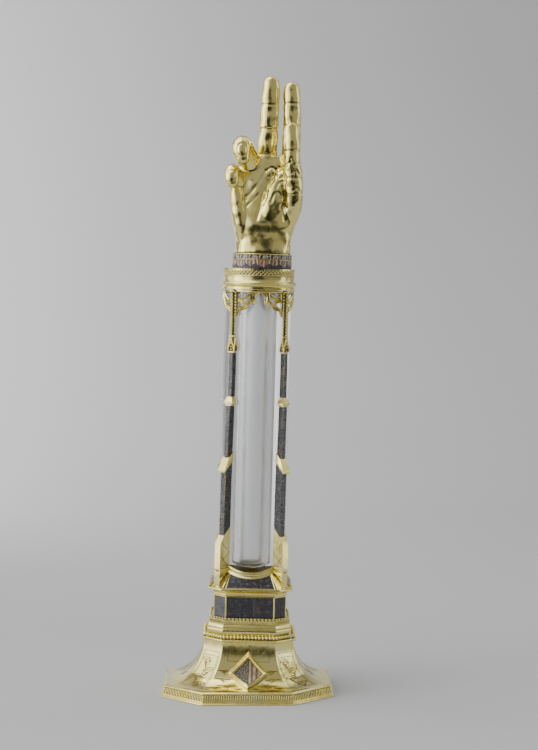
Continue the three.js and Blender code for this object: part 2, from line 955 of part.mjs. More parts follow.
// The enamel of a stage wraps its end and both flanks: a U seen from above, cut off along rising lines.
function stageEnamel({ reach, width }, lowAt, highAt) {
  const half = width / 2;
  const inner = half - enamelThickness;
  const back = pierInner + gap;
  const plan = [
    [back, -half],
    [reach, -half],
    [reach, half],
    [back, half],
    [back, inner],
    [reach - enamelThickness, inner],
    [reach - enamelThickness, -inner],
    [back, -inner],
  ];
  const low = plan.map(([distance, side]) => [distance, side, lowAt(distance)]);
  const high = plan.map(([distance, side]) => [distance, side, highAt(distance)]);
  const points = [...low, ...high];
  const count = plan.length;
  const faces = [];
  for (let i = 0; i < count; i++) {
    const next = (i + 1) % count;
    faces.push(i, next, next + count, i, next + count, i + count);
  }
  const quads = [
    [0, 1, 6, 7],
    [1, 2, 5, 6],
    [2, 3, 4, 5],
  ];
  for (const [a, b, c, d] of quads) {
    faces.push(a, c, b, a, d, c);
    faces.push(a + count, b + count, c + count, a + count, c + count, d + count);
  }
  return meshOf(points, faces);
}

// Heights of the three enamelled stages, each as functions of the distance from the axis.
function stageEnamels() {
  const { baseShelf, cap, setOff: setOffHeight, gablet: gabletHeight } = stageHeights;
  const capTop = cap + dripCap.topRise;
  const topReach = dripCap.reach - dripCap.topSetBack;
  const upperFoot = setOffHeight + setOff.moulding + setOff.rise + gap;
  const rising = (reach, height) => (distance) => height + reach - distance;
  const level = (height) => () => height;
  return {
    lower: stageEnamel(
      lowerStage,
      rising(lowerStage.reach, baseShelf + gap * 2),
      rising(dripCap.reach, cap - gap * 2),
    ),
    middle: stageEnamel(middleStage, rising(topReach, capTop + gap * 2), level(setOffHeight - gap)),
    upper: stageEnamel(upperStage, level(upperFoot), level(gabletHeight - gap)),
  };
}

// Arcade

// Points of a lobe between two cusps: the chord bowed upwards by a sag.
function lobe([x0, z0], [x1, z1], sag, steps) {
  const points = [];
  for (let step = 1; step < steps; step++) {
    const share = step / steps;
    const bow = sag * Math.sin(Math.PI * share);
    points.push([x0 + (x1 - x0) * share, z0 + (z1 - z0) * share + bow]);
  }
  return points;
}

// The arch opening of one bay, seen from the front.
function archOpening(halfBay) {
  const { crown, cuspX, cuspHeight, outerCuspX, outerCuspHeight, lobeSag, lobeSteps, footWidth } = arcade;
  const spring = [halfBay - footWidth, 0];
  const outerCusp = [outerCuspX, outerCuspHeight];
  const cusp = [cuspX, cuspHeight];
  const right = [
    [halfBay - footWidth, -overlap],
    ...lobe(spring, outerCusp, lobeSag, lobeSteps),
    outerCusp,
    ...lobe(outerCusp, cusp, lobeSag, lobeSteps),
    cusp,
    [cuspX - arcade.crownSetBack, (cuspHeight + crown) / 2 + arcade.crownLift],
    [cuspX / 2, crown - arcade.haunchDrop],
  ];
  const left = right.map(([x, z]) => [-x, z]).reverse();
  return [...right, [0, crown], ...left];
}

function arcadeBody() {
  const inner = crystal.radiusBottom + gap;
  const outer = inner + arcade.thickness;
  const top = arcadeBottom + arcade.height;
  const shell = turned(
    [
      [inner, arcadeBottom],
      [outer, arcadeBottom],
      [outer, top],
      [inner, top],
      [inner, arcadeBottom],
    ],
    arcade.sides,
  );
  const halfBay = outer * Math.SQRT1_2;
  const toolOf = (outline) => {
    const tool = sideways(outline, outer);
    tool.translate(0, -outer, arcadeBottom);
    return tool;
  };
  const friezeBottom = arcade.height - arcade.frieze;
  const openings = spandrels.map((outline) =>
    outline.map(([inwards, below]) => [halfBay - inwards, friezeBottom - below]),
  );
  const mirrored = openings.map((outline) => outline.map(([x, z]) => [-x, z]).reverse());
  const tools = [archOpening(halfBay), ...openings, ...mirrored].map(toolOf);
  return cut(shell, tools.flatMap((tool) => around(tool, faceAngles)));
}

// Collar and gallery

function collarBody() {
  const socket = crystal.radiusTop + gap;
  const lowerTop = collarBottom + collar.lowerHeight;
  const noseTop = lowerTop + collar.noseHeight;
  const sweepTop = noseTop + collar.sweepHeight;
  return turned(
    [
      [0, crystalTop + gap],
      [socket, crystalTop + gap],
      [socket, collarBottom],
      [collar.lowerRadius, collarBottom],
      [collar.lowerRadius, lowerTop],
      [collar.radius, lowerTop + collar.noseHeight / 2],
      [collar.radius - collar.noseSetBack, noseTop],
      [collar.filletRadius - collar.sweepSetBack, sweepTop - collar.sweepHeight / 3],
      [collar.filletRadius, sweepTop],
      [collar.filletRadius, collarTop],
      [0, collarTop],
    ],
    crystal.sides,
  );
}

function galleryFence() {
  const inner = gallery.radius - gallery.thickness;
  const top = galleryBottom + gallery.height;
  const shell = turned(
    [
      [inner, galleryBottom],
      [gallery.radius, galleryBottom],
      [gallery.radius, top],
      [inner, top],
      [inner, galleryBottom],
    ],
    gallery.columns,
  );
  const rowHeight = (2 * (gallery.height - 2 * gallery.rail)) / (gallery.rows + 1);
  const halfHeight = (rowHeight / 2) * gallery.openingShare;
  const pitch = (2 * Math.PI * gallery.radius) / gallery.columns;
  const halfWidth = (pitch / 2) * gallery.openingShare;
  const diamond = sideways(
    [
      [-halfWidth, 0],
      [0, -halfHeight],
      [halfWidth, 0],
      [0, halfHeight],
    ],
    gallery.thickness * 4,
  );
  diamond.translate(0, -gallery.radius, 0);
  const tools = [];
  for (let row = 0; row < gallery.rows; row++) {
    const height = galleryBottom + gallery.rail + rowHeight / 2 + (row * rowHeight) / 2;
    for (let column = 0; column < gallery.columns; column++) {
      const tool = diamond.clone();
      tool.rotateZ(((column + row / 2) * 2 * Math.PI) / gallery.columns);
      tool.translate(0, 0, height);
      tools.push(tool);
    }
  }
  return cut(shell, tools);
}

// Cuff

function oval(halfWidth, halfDepth, centreX, z, sides) {
  return Array.from({ length: sides }, (unused, i) => {
    const angle = (2 * Math.PI * i) / sides;
    return [centreX + halfWidth * Math.cos(angle), halfDepth * Math.sin(angle), z];
  });
}

function cuffBody() {
  const ring = (growth, z) =>
    oval(cuff.halfWidth + growth, cuff.halfDepth + growth, cuff.centreX, cuffBottom + z, cuff.sides);
  const bandTop = cuff.height - cuff.beadHeight;
  const middle = cuff.baseHeight + (bandTop - cuff.baseHeight) * cuff.bandShare;
  return loft([
    ring(0, 0),
    ring(0, cuff.baseHeight),
    ring(0, middle),
    ring(cuff.beadRise, middle + cuff.beadHeight / 2),
    ring(0, middle + cuff.beadHeight),
    ring(0, bandTop),
    ring(cuff.beadRise, bandTop + cuff.beadHeight / 2),
    ring(0, cuff.height),
  ]);
}

// Hand

const handScale = hand.height / hand.drawnHeight;

// A limb through stations of [x, y, z, radius across, radius deep], rounded off at its end.
function limb(stations, sides) {
  const line = new THREE.CatmullRomCurve3(stations.map(([x, y, z]) => new THREE.Vector3(x, y, z)));
  const rings = [];
  const count = stations.length;
  const section = (centre, direction, across, deep) => {
    const side = new THREE.Vector3(1, 0, 0).addScaledVector(direction, -direction.x).normalize();
    const front = direction.clone().cross(side);
    return Array.from({ length: sides }, (unused, i) => {
      const angle = (2 * Math.PI * i) / sides;
      const point = centre.clone();
      point.addScaledVector(side, across * Math.cos(angle));
      point.addScaledVector(front, deep * Math.sin(angle));
      return point.toArray();
    });
  };
  for (let i = 0; i < count; i++) {
    const [, , , across, deep] = stations[i];
    const centre = line.getPoint(i / (count - 1));
    rings.push(section(centre, line.getTangent(i / (count - 1)), across, deep));
  }
  const [, , , endAcross, endDeep] = stations[count - 1];
  const end = line.getPoint(1);
  const direction = line.getTangent(1);
  for (const angle of hand.tipAngles) {
    const turn = THREE.MathUtils.degToRad(angle);
    const centre = end.clone().addScaledVector(direction, endDeep * Math.sin(turn));
    rings.push(section(centre, direction, endAcross * Math.cos(turn), endDeep * Math.cos(turn)));
  }
  return loft(rings);
}

// The wrist and the flat of the hand: rings of [height, centre X, centre Y, half width, half depth].
function palmBody() {
  const levels = [
    [0, 3.0, 0, 27.4, 22.6],
    [12, 3.3, 0, 26.6, 21.4],
    [22, 3.2, 0, 29, 20.6],
    [34, 3.6, 0.6, 32.4, 19.4],
    [46, 4.8, 1.6, 35.6, 17.6],
    [58, 5.0, 2.6, 36.9, 15.8],
    [72, 4.4, 3.4, 36.4, 14],
    [84, 5.4, 4, 34.2, 12.6],
    [94, 8.6, 4.4, 29.6, 11],
    [101, 13, 4.4, 23, 7.5],
  ];
  const rings = levels.map(([z, centreX, centreY, halfWidth, halfDepth]) =>
    Array.from({ length: hand.palmSides }, (unused, i) => {
      const angle = (2 * Math.PI * i) / hand.palmSides;
      const across = Math.sign(Math.cos(angle)) * Math.abs(Math.cos(angle)) ** hand.squareness;
      const deep = Math.sign(Math.sin(angle)) * Math.abs(Math.sin(angle)) ** hand.squareness;
      return [centreX + halfWidth * across, centreY + halfDepth * deep, z];
    }),
  );
  return loft(rings);
}

// Fingers and the muscles of the palm, as stations measured from the wrist upwards.
function handLimbs() {
  const middleFinger = [
    [2.6, 4, 82, 9.8, 9.6],
    [4.4, 4, 99, 9.4, 9.2],
    [5.2, 3.6, 116, 8.8, 8.8],
    [5.6, 3.4, 128.6, 8.4, 8.4],
    [5.9, 3.2, 141, 8.3, 8.2],
    [6.2, 3, 153.6, 7.9, 7.9],
    [6.5, 3, 165, 7.9, 7.6],
    [6.7, 3.2, 176, 7.5, 7.2],
  ];
  const indexFinger = [
    [26, 4, 80, 9.8, 9.6],
    [28.4, 4, 98, 9, 9],
    [29, 3.6, 114, 8.6, 8.6],
    [29.2, 3.4, 130, 8.4, 8.4],
    [29, 3.2, 146, 8.2, 8],
    [28.7, 3, 158, 8.1, 7.8],
    [28.4, 3, 170.4, 7.7, 7.2],
  ];
  const thumb = [
    [27, -2, 30, 8.5, 8.5],
    [32, -8, 46, 9.2, 10],
    [33, -12, 62, 9.4, 10],
    [31.5, -14.6, 80, 9.6, 9.6],
    [30, -16, 94, 8.8, 9],
    [29.4, -16.6, 108, 8.8, 8.6],
    [28.8, -16.4, 118, 8.6, 8],
    [28.6, -16, 127.6, 7.8, 7],
  ];
  const ringFinger = [
    [-10, 3, 82, 9.8, 9.4],
    [-12.6, -3, 94, 9.6, 9.2],
    [-16.6, -11, 104, 9.4, 9.2],
    [-20.6, -19.4, 109, 9, 9],
    [-21.2, -25.4, 104, 8.6, 8.4],
    [-20.4, -27, 96, 8.2, 8],
  ];
  const littleFinger = [
    [-20, 1, 62, 8.6, 8.6],
    [-24, -5, 73, 8.2, 8.2],
    [-27.6, -12, 80.6, 7.8, 7.8],
    [-30.2, -18.6, 82, 7.4, 7.6],
    [-30.6, -23, 77, 7.2, 7.2],
    [-30, -23.6, 71, 6.8, 6.6],
  ];
  const thumbBall = [
    [6, -9, 20, 8, 8],
    [9, -11.6, 34, 9.6, 8.8],
    [12, -12.4, 50, 9.8, 8.8],
    [15, -11, 66, 8.6, 7.6],
    [19, -7, 78, 6, 6],
  ];
  const palmHeel = [
    [-15, -7, 8, 7, 9],
    [-19, -8.4, 26, 7.8, 9.6],
    [-22.6, -8.6, 44, 8, 9.4],
    [-25, -7.4, 58, 7.4, 8.4],
    [-25.6, -5, 66, 6, 7],
  ];
  return [middleFinger, indexFinger, thumb, ringFinger, littleFinger, thumbBall, palmHeel];
}

function handBody() {
  const limbs = handLimbs().map((stations) => limb(stations, hand.fingerSides));
  const whole = join([palmBody(), ...limbs]);
  whole.scale(handScale, handScale, handScale);
  whole.translate(0, 0, handBottom);
  return whole;
}

// Assembly

function named(name, geometry, material) {
  const mesh = new THREE.Mesh(geometry, material);
  mesh.name = name;
  return mesh;
}

const reliquary = new THREE.Group();
const frameGeometry = lozengeFrame();
const lozengeGeometry = lozengeEnamel();
reliquary.add(named("foot", footBody(), gilt()));
reliquary.add(named("lozenge_frame_front", frameGeometry, gilt()));
reliquary.add(named("lozenge_enamel_front", lozengeGeometry, stripedEnamel()));
reliquary.add(named("lozenge_frame_back", onBack(frameGeometry), gilt()));
reliquary.add(named("lozenge_enamel_back", onBack(lozengeGeometry), stripedEnamel()));

// Everything above the foot leans as one
const body = new THREE.Group();
body.rotation.y = THREE.MathUtils.degToRad(leanAngle);
reliquary.add(body);

body.add(named("bead_row", beadRow(), gilt()));
body.add(named("neck_moulding", neckMoulding(), gilt()));
body.add(named("drum", drumBody(), gilt()));
drumFaces().forEach((face, i) => body.add(named(`drum_enamel_${i + 1}`, drumPlate(face), enamel())));
body.add(named("cornice", corniceBody(), gilt()));
body.add(named("shoulder", shoulderBody(), gilt()));
around(shoulderPlate(), faceAngles).forEach((plate, i) =>
  body.add(named(`shoulder_enamel_${i + 1}`, plate, enamel())),
);
body.add(named("crystal", crystalBody(), rockCrystal()));

const pierGeometry = pierBody();
const enamels = stageEnamels();
pierAngles.forEach((angle, i) => {
  const pier = new THREE.Group();
  pier.rotation.z = THREE.MathUtils.degToRad(angle);
  pier.add(named(`pier_${i + 1}`, pierGeometry, gilt()));
  for (const [stage, geometry] of Object.entries(enamels)) {
    pier.add(named(`pier_enamel_${i + 1}_${stage}`, geometry, enamel()));
  }
  body.add(pier);
});

body.add(named("arcade", arcadeBody(), gilt()));
body.add(named("collar", collarBody(), gilt()));
body.add(named("gallery", galleryFence(), gilt()));
body.add(named("cuff", cuffBody(), stripedEnamel()));
body.add(named("hand", handBody(), gilt()));

export default reliquary;
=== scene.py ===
# Arm reliquary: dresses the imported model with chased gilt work, enamel, clear crystal and the hand.
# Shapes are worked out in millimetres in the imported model's frame and scaled to metres when a mesh is made.
# The front looks along -Y. A part is a pair: its points, and a list of face arrays that number them.
import bpy
import math
import numpy as np
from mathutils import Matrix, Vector


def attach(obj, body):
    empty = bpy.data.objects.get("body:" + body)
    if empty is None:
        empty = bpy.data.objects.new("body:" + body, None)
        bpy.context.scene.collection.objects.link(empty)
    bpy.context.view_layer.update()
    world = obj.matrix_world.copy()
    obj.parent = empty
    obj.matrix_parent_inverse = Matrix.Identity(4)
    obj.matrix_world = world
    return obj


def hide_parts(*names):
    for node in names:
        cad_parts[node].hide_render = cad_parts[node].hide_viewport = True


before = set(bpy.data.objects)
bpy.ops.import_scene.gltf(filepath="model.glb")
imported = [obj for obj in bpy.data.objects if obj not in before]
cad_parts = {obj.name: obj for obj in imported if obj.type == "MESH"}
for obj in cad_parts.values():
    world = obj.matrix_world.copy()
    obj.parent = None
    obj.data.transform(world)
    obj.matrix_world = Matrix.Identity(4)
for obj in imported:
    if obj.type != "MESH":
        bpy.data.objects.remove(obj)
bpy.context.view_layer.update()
print(f"frame: {len(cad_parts)} solids")

leanAngle = 1.63          # degrees towards +X, everything above the foot
metre = 0.001             # one millimetre in metres
quarters = (0, 90, 180, 270)
wringing = {"heights": (110, 215, 270, 325, 405), "degrees": (0, 0, 2.1, 3.6, 2.2)}
levels = {                # heights along the leaning axis, mm
    "neck": 58.3, "drum": 77.0, "cornice": 100.7, "shoulder": 108.8, "crystalTop": 412.8,
    "pierFoot": 110.4, "arcade": 381.0, "arcadeTop": 409.5, "collar": 409.8, "collarTop": 423.0,
    "gallery": 423.3, "cuff": 423.3, "hand": 446.6,
}


# Quads between neighbouring rows and columns of a row-major grid, facing out where rows climb and columns
# run counter-clockwise.
def gridFaces(rows, columns, closeColumns=True, closeRows=False):
    r, c = np.meshgrid(np.arange(rows if closeRows else rows - 1),
                       np.arange(columns if closeColumns else columns - 1), indexing="ij")
    low, high = r * columns, (r + 1) % rows * columns
    right = (c + 1) % columns
    return np.stack([low + c, low + right, high + right, high + c], -1).reshape(-1, 4)


# Skin through rings of points (rows, columns, 3), with flat caps at both ends unless it closes on itself.
def loft(rings, closeRows=False):
    rows, columns = rings.shape[:2]
    faces = [gridFaces(rows, columns, True, closeRows)]
    if not closeRows:
        faces += [np.arange(columns)[::-1][None], (np.arange(columns) + (rows - 1) * columns)[None]]
    return rings.reshape(-1, 3), faces


# Closed slab between an outer and an inner grid of points (rows, columns, 3).
def slab(outer, inner):
    rows, columns = outer.shape[:2]
    count = rows * columns
    face = gridFaces(rows, columns, False)
    index = np.arange(count).reshape(rows, columns)
    rim = np.concatenate([index[0, :], index[1:, -1], index[-1, -2::-1], index[-2:0:-1, 0]])
    after = np.roll(rim, -1)
    side = np.stack([rim, rim + count, after + count, after], -1)
    return np.concatenate([outer.reshape(-1, 3), inner.reshape(-1, 3)]), [face, face[:, ::-1] + count, side]


# Turns a profile of (radius, height) round the upright axis; points on the axis make closed poles.
def lathe(profile, sides, closed=False):
    profile = np.asarray(profile, float)
    angle = np.linspace(0, 2 * np.pi, sides, endpoint=False)
    rings = np.stack([profile[:, :1] * np.cos(angle), profile[:, :1] * np.sin(angle),
                      np.repeat(profile[:, 1:], sides, 1)], -1)
    return loft(rings, closed)


# Carries a closed section of (across, out) along a path, with out along the given outward directions.
def strip(path, outward, section, closed=False):
    path, section = np.asarray(path, float), np.asarray(section, float)
    outward = np.broadcast_to(np.asarray(outward, float), path.shape)
    if closed:
        tangent = np.roll(path, -1, 0) - np.roll(path, 1, 0)
    else:
        tangent = np.gradient(path, axis=0)
    tangent /= np.linalg.norm(tangent, axis=1, keepdims=True) + 1e-12
    side = np.cross(outward, tangent)
    side /= np.linalg.norm(side, axis=1, keepdims=True) + 1e-12
    out = np.cross(tangent, side)
    rings = path[:, None] + side[:, None] * section[None, :, :1] + out[:, None] * section[None, :, 1:]
    return loft(rings, closed)


# Smooth curve through stations, sampled evenly: between two of them the cubic whose slope at each is half
# the step from the station before to the one after.
def throughStations(stations, count=40):
    p = np.asarray(stations, float)
    p = np.concatenate([2 * p[:1] - p[1:2], p, 2 * p[-1:] - p[-2:-1]])
    t = np.linspace(0, len(stations) - 1 - 1e-6, count)
    i = t.astype(int)
    f = (t - i)[:, None]
    a, b, c, d = p[i], p[i + 1], p[i + 2], p[i + 3]
    square, cube = (2 * a - 5 * b + 4 * c - d) * f ** 2, (3 * b - a - 3 * c + d) * f ** 3
    return 0.5 * (2 * b + (c - a) * f + square + cube)


# Oval section of (across, out): radius times cosine, and lift plus depth times sine.
def roundSection(radius, sides=8, lift=0.0, deep=None):
    angle = np.linspace(0, 2 * np.pi, sides, endpoint=False)
    return np.stack([radius * np.cos(angle), lift + (deep or radius) * np.sin(angle)], -1)


# Copies one shape to many places: each place has a point and three axes as rows.
def copies(shape, centres, axes):
    points, faces = shape
    placed = centres[:, None] + np.einsum("pk,nkd->npd", points, axes)
    step = (np.arange(len(centres)) * len(points))[:, None, None]
    return placed.reshape(-1, 3), [(face[None] + step).reshape(-1, face.shape[1]) for face in faces]


# Ball: the half circle of radius times cosine and sine, squashed in height and turned round the axis.
def ball(radius, sides=10, rings=6, squash=1.0):
    angle = np.linspace(-np.pi / 2, np.pi / 2, rings + 1)
    profile = np.stack([radius * np.cos(angle), radius * np.sin(angle) * squash], -1)
    profile[[0, -1], 0] = radius * 0.02
    return lathe(profile, sides)


# Box between two corners: its plan at the low and at the high level.
def brick(low, high):
    (x0, y0, z0), (x1, y1, z1) = low, high
    ring = np.array([[x0, y0], [x1, y0], [x1, y1], [x0, y1]], float)
    rings = np.stack([np.column_stack([ring, np.full(4, z)]) for z in (z0, z1)])
    return loft(rings)


# Flat outline of (distance, height) given a half width at each point and carried from side to side.
def wedge(outline, halfWidths):
    outline = np.asarray(outline, float)
    half = np.broadcast_to(np.asarray(halfWidths, float), (len(outline),))
    rings = np.stack([np.column_stack([outline[:, 0], sign * half, outline[:, 1]]) for sign in (1, -1)])
    return loft(rings)


# Leans points about the origin towards +X, by the whole angle or a share of it: X is x cos a + z sin a, and
# Z is z cos a - x sin a.
def lean(points, share=1.0):
    angle = math.radians(leanAngle) * np.asarray(share)
    x, y, z = points[..., 0], points[..., 1], points[..., 2]
    return np.stack([x * np.cos(angle) + z * np.sin(angle), y, z * np.cos(angle) - x * np.sin(angle)], -1)


# Wrings piers and tracery round the axis, X as x cos t - y sin t and Y as x sin t + y cos t: degrees by
# height, joined by straight lines.
def wrung(points):
    turn = np.radians(np.interp(points[..., 2], wringing["heights"], wringing["degrees"]))
    x, y = points[..., 0], points[..., 1]
    turned = points.copy()
    turned[..., 0] = x * np.cos(turn) - y * np.sin(turn)
    turned[..., 1] = x * np.sin(turn) + y * np.cos(turn)
    return turned


# Turns points round the upright axis: X is x cos a - y sin a, and Y is x sin a + y cos a.
def spin(points, degrees):
    a = math.radians(degrees)
    x, y, z = points[..., 0], points[..., 1], points[..., 2]
    return np.stack([x * math.cos(a) - y * math.sin(a), x * math.sin(a) + y * math.cos(a), z], -1)


def moved(part, change):
    return change(part[0]), part[1]


def leaned(parts):
    return [moved(part, lean) for part in parts]


# Copies of the parts turned round the axis by each of the degrees.
def around(parts, degrees):
    return [moved(part, lambda p, d=d: spin(p, d)) for d in degrees for part in parts]


def flipped(part):
    return part[0], [faces[:, ::-1] for faces in part[1]]


def mirroredBack(part):
    return part[0] * np.array([1, -1, 1]), [faces[:, ::-1] for faces in part[1]]


# Eight corners of a plan (half X, half Y, corner cut), counter-clockwise from the front right.
def octagon(plan, z):
    hx, hy, c = plan
    xy = [[hx, -(hy - c)], [hx, hy - c], [hx - c, hy], [-(hx - c), hy],
          [-hx, hy - c], [-hx, -(hy - c)], [-(hx - c), -hy], [hx - c, -hy]]
    return np.column_stack([np.array(xy, float), np.full(8, float(z))])


# Plan as deep as it is wide, from half its width and half a straight face.
def evenPlan(half, face):
    return half, half, half - face


# Plan with all eight sides moved out by a distance: the corner cut grows by 2 less the root of 2 of it.
def grown(plan, distance):
    return plan[0] + distance, plan[1] + distance, plan[2] + distance * (2 - math.sqrt(2))


# Places spread along an octagon's sides, centres and axes: along the side, outwards, up.
def alongPlan(plan, pitch, z):
    corners = octagon(plan, z)
    centres, axes = [], []
    for corner, after in zip(corners, np.roll(corners, -1, 0)):
        length = np.linalg.norm(after - corner)
        along = (after - corner) / length
        count = max(1, round(length / pitch))
        share = (np.arange(count) + 0.5) / count
        centres.append(corner + (after - corner) * share[:, None])
        axes.append(np.repeat(np.stack([along, np.cross(along, [0, 0, 1]), [0, 0, 1]])[None], count, 0))
    return np.concatenate(centres), np.concatenate(axes)


# Makes a piece of the reliquary from parts of (points, faces), in metres, riding on the one body.
def newPiece(name, parts, material, replaced=(), sharp=38, colours=None, bevel=None):
    points = np.concatenate([p for p, f in parts]) * metre
    loops, totals, base = [], [], 0
    for p, faceSets in parts:
        for faces in faceSets:
            loops.append((faces + base).ravel())
            totals.append(np.full(len(faces), faces.shape[1]))
        base += len(p)
    loops, totals = np.concatenate(loops).astype(np.int32), np.concatenate(totals)
    starts = np.concatenate([[0], np.cumsum(totals)[:-1]]).astype(np.int32)
    mesh = bpy.data.meshes.new(name)
    mesh.vertices.add(len(points))
    mesh.vertices.foreach_set("co", points.astype(np.float32).ravel())
    mesh.loops.add(len(loops))
    mesh.loops.foreach_set("vertex_index", loops)
    mesh.polygons.add(len(totals))
    mesh.polygons.foreach_set("loop_start", starts)
    mesh.update(calc_edges=True)
    mesh.validate()
    mesh.shade_smooth()
    mesh.set_sharp_from_angle(angle=math.radians(sharp))
    if colours is not None:
        layer = mesh.color_attributes.new("pigment", "FLOAT_COLOR", "POINT")
        rgba = np.column_stack([np.concatenate(colours), np.ones(len(points))])
        layer.data.foreach_set("color", rgba.astype(np.float32).ravel())
    mesh.materials.append(material)
    piece = bpy.data.objects.new(name, mesh)
    bpy.context.scene.collection.objects.link(piece)
    if bevel:
        edge = piece.modifiers.new("softEdges", "BEVEL")
        edge.width = bevel * metre
        edge.segments = 2
        edge.limit_method = "ANGLE"
        edge.angle_limit = math.radians(32)
        edge.harden_normals = False
    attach(piece, "root")
    if replaced:
        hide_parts(*replaced)
    print(f"{name}: {len(points)} points, {len(totals)} faces")
    return piece


giltLook = {     # colours in linear light, shares from 0 to 1, grains in noise cells to the metre
    "gold": (0.88, 0.76, 0.25), "pale": (0.90, 0.84, 0.45), "tarnish": (0.30, 0.19, 0.05),
    # hollow is a painted reflection of gold in gold for the hand's hollows; the crevice colour is painted shade
    # with some dirt
    "hollow": (0.38, 0.25, 0.06), "hollowReflectionShare": 0.5, "shadeAndDirt": (0.06, 0.038, 0.012),
    "tarnishAmount": 0.35, "rubbing": 0.6, "roughLow": 0.10, "roughHigh": 0.28, "hammer": 0.35,
    "patchGrain": 48, "spotGrain": 260, "cloudGrain": 75, "polishGrain": 130, "hammerGrain": 70,
    "scratchGrain": 1500, "shadeAndDirtGrain": 95,
}


# A shader node with its inputs set by name.
def node(tree, kind, **inputs):
    made = tree.nodes.new(kind)
    for key, value in inputs.items():
        made.inputs[key.replace("_", " ")].default_value = value
    return made


def noiseOf(tree, coordinates, scale, detail=4.0, rough=0.55):
    texture = node(tree, "ShaderNodeTexNoise", Scale=scale, Detail=detail, Roughness=rough)
    tree.links.new(coordinates, texture.inputs["Vector"])
    return texture.outputs["Fac"]


# Maps a value from one range to another by a straight line, held at the ends.
def rangeOf(tree, value, low, high, outLow=0.0, outHigh=1.0):
    ranged = tree.nodes.new("ShaderNodeMapRange")
    tree.links.new(value, ranged.inputs["Value"])
    for key, number in zip(("From Min", "From Max", "To Min", "To Max"), (low, high, outLow, outHigh)):
        ranged.inputs[key].default_value = number
    return ranged.outputs["Result"]


def mixOf(tree, factor, first, second, blend="MIX"):
    mix = tree.nodes.new("ShaderNodeMix")
    mix.data_type = "RGBA"
    mix.blend_type = blend
    for socket, value in ((mix.inputs[0], factor), (mix.inputs[6], first), (mix.inputs[7], second)):
        if isinstance(value, (int, float)):
            socket.default_value = value
        elif isinstance(value, tuple):
            socket.default_value = (*value, 1.0)
        else:
            tree.links.new(value, socket)
    return mix.outputs[2]


def mathOf(tree, operation, first, second):
    maths = tree.nodes.new("ShaderNodeMath")
    maths.operation = operation
    for socket, value in zip(maths.inputs, (first, second)):
        if isinstance(value, (int, float)):
            socket.default_value = value
        else:
            tree.links.new(value, socket)
    return maths.outputs[0]


# New shader group with the three outputs of a finish and inputs of (name, kind, start value).
def finishGroup(name, inputs):
    group = bpy.data.node_groups.new(name, "ShaderNodeTree")
    for output in ("Color", "Roughness", "Height"):
        kind = "NodeSocketColor" if output == "Color" else "NodeSocketFloat"
        group.interface.new_socket(output, in_out="OUTPUT", socket_type=kind)
    for title, kind, start in inputs:
        group.interface.new_socket(title, in_out="INPUT", socket_type=kind).default_value = start
    where = group.nodes.new("ShaderNodeTexCoord").outputs["Object"]
    return group, group.nodes.new("NodeGroupInput"), group.nodes.new("NodeGroupOutput"), where


# Gilding as a group: pale rubbed patches over gold, brown tarnish in small spots, uneven polish, and a
# height of slow waves from the hammer with fine scratches.
def giltGroup():
    look = giltLook
    group, inward, outward, where = finishGroup("gilding", (
        ("Tarnish", "NodeSocketFloat", look["tarnishAmount"]), ("Rubbing", "NodeSocketFloat", look["rubbing"])))
    patches = rangeOf(group, noiseOf(group, where, look["patchGrain"], 5), 0.42, 0.68)
    rubbed = mathOf(group, "MULTIPLY", patches, inward.outputs["Rubbing"])
    metal = mixOf(group, rubbed, look["gold"], look["pale"])
    spots = rangeOf(group, noiseOf(group, where, look["spotGrain"], 7, 0.65), 0.56, 0.72)
    clouds = rangeOf(group, noiseOf(group, where, look["cloudGrain"], 3), 0.4, 0.7)
    tarnish = mathOf(group, "MULTIPLY", mathOf(group, "MULTIPLY", spots, clouds), inward.outputs["Tarnish"])
    group.links.new(mixOf(group, tarnish, metal, look["tarnish"]), outward.inputs["Color"])
    grain = noiseOf(group, where, look["polishGrain"], 6, 0.6)
    polish = rangeOf(group, grain, 0.3, 0.72, look["roughLow"], look["roughHigh"])
    dull = mathOf(group, "MULTIPLY", tarnish, 0.3)
    group.links.new(mathOf(group, "ADD", polish, dull), outward.inputs["Roughness"])
    waves = mathOf(group, "MULTIPLY", noiseOf(group, where, look["hammerGrain"], 2), look["hammer"])
    scratches = mathOf(group, "MULTIPLY", noiseOf(group, where, look["scratchGrain"], 3), 0.02)
    group.links.new(mathOf(group, "ADD", waves, scratches), outward.inputs["Height"])
    return group


def newMaterial(name):
    material = bpy.data.materials.new(name)
    material.use_nodes = True
    tree = material.node_tree
    return material, tree, tree.nodes["Principled BSDF"]


def bumped(tree, shader, height, strength, distance):
    bumper = node(tree, "ShaderNodeBump", Strength=strength, Distance=distance)
    tree.links.new(height, bumper.inputs["Height"])
    tree.links.new(bumper.outputs["Normal"], shader.inputs["Normal"])


gildingGroup = giltGroup()
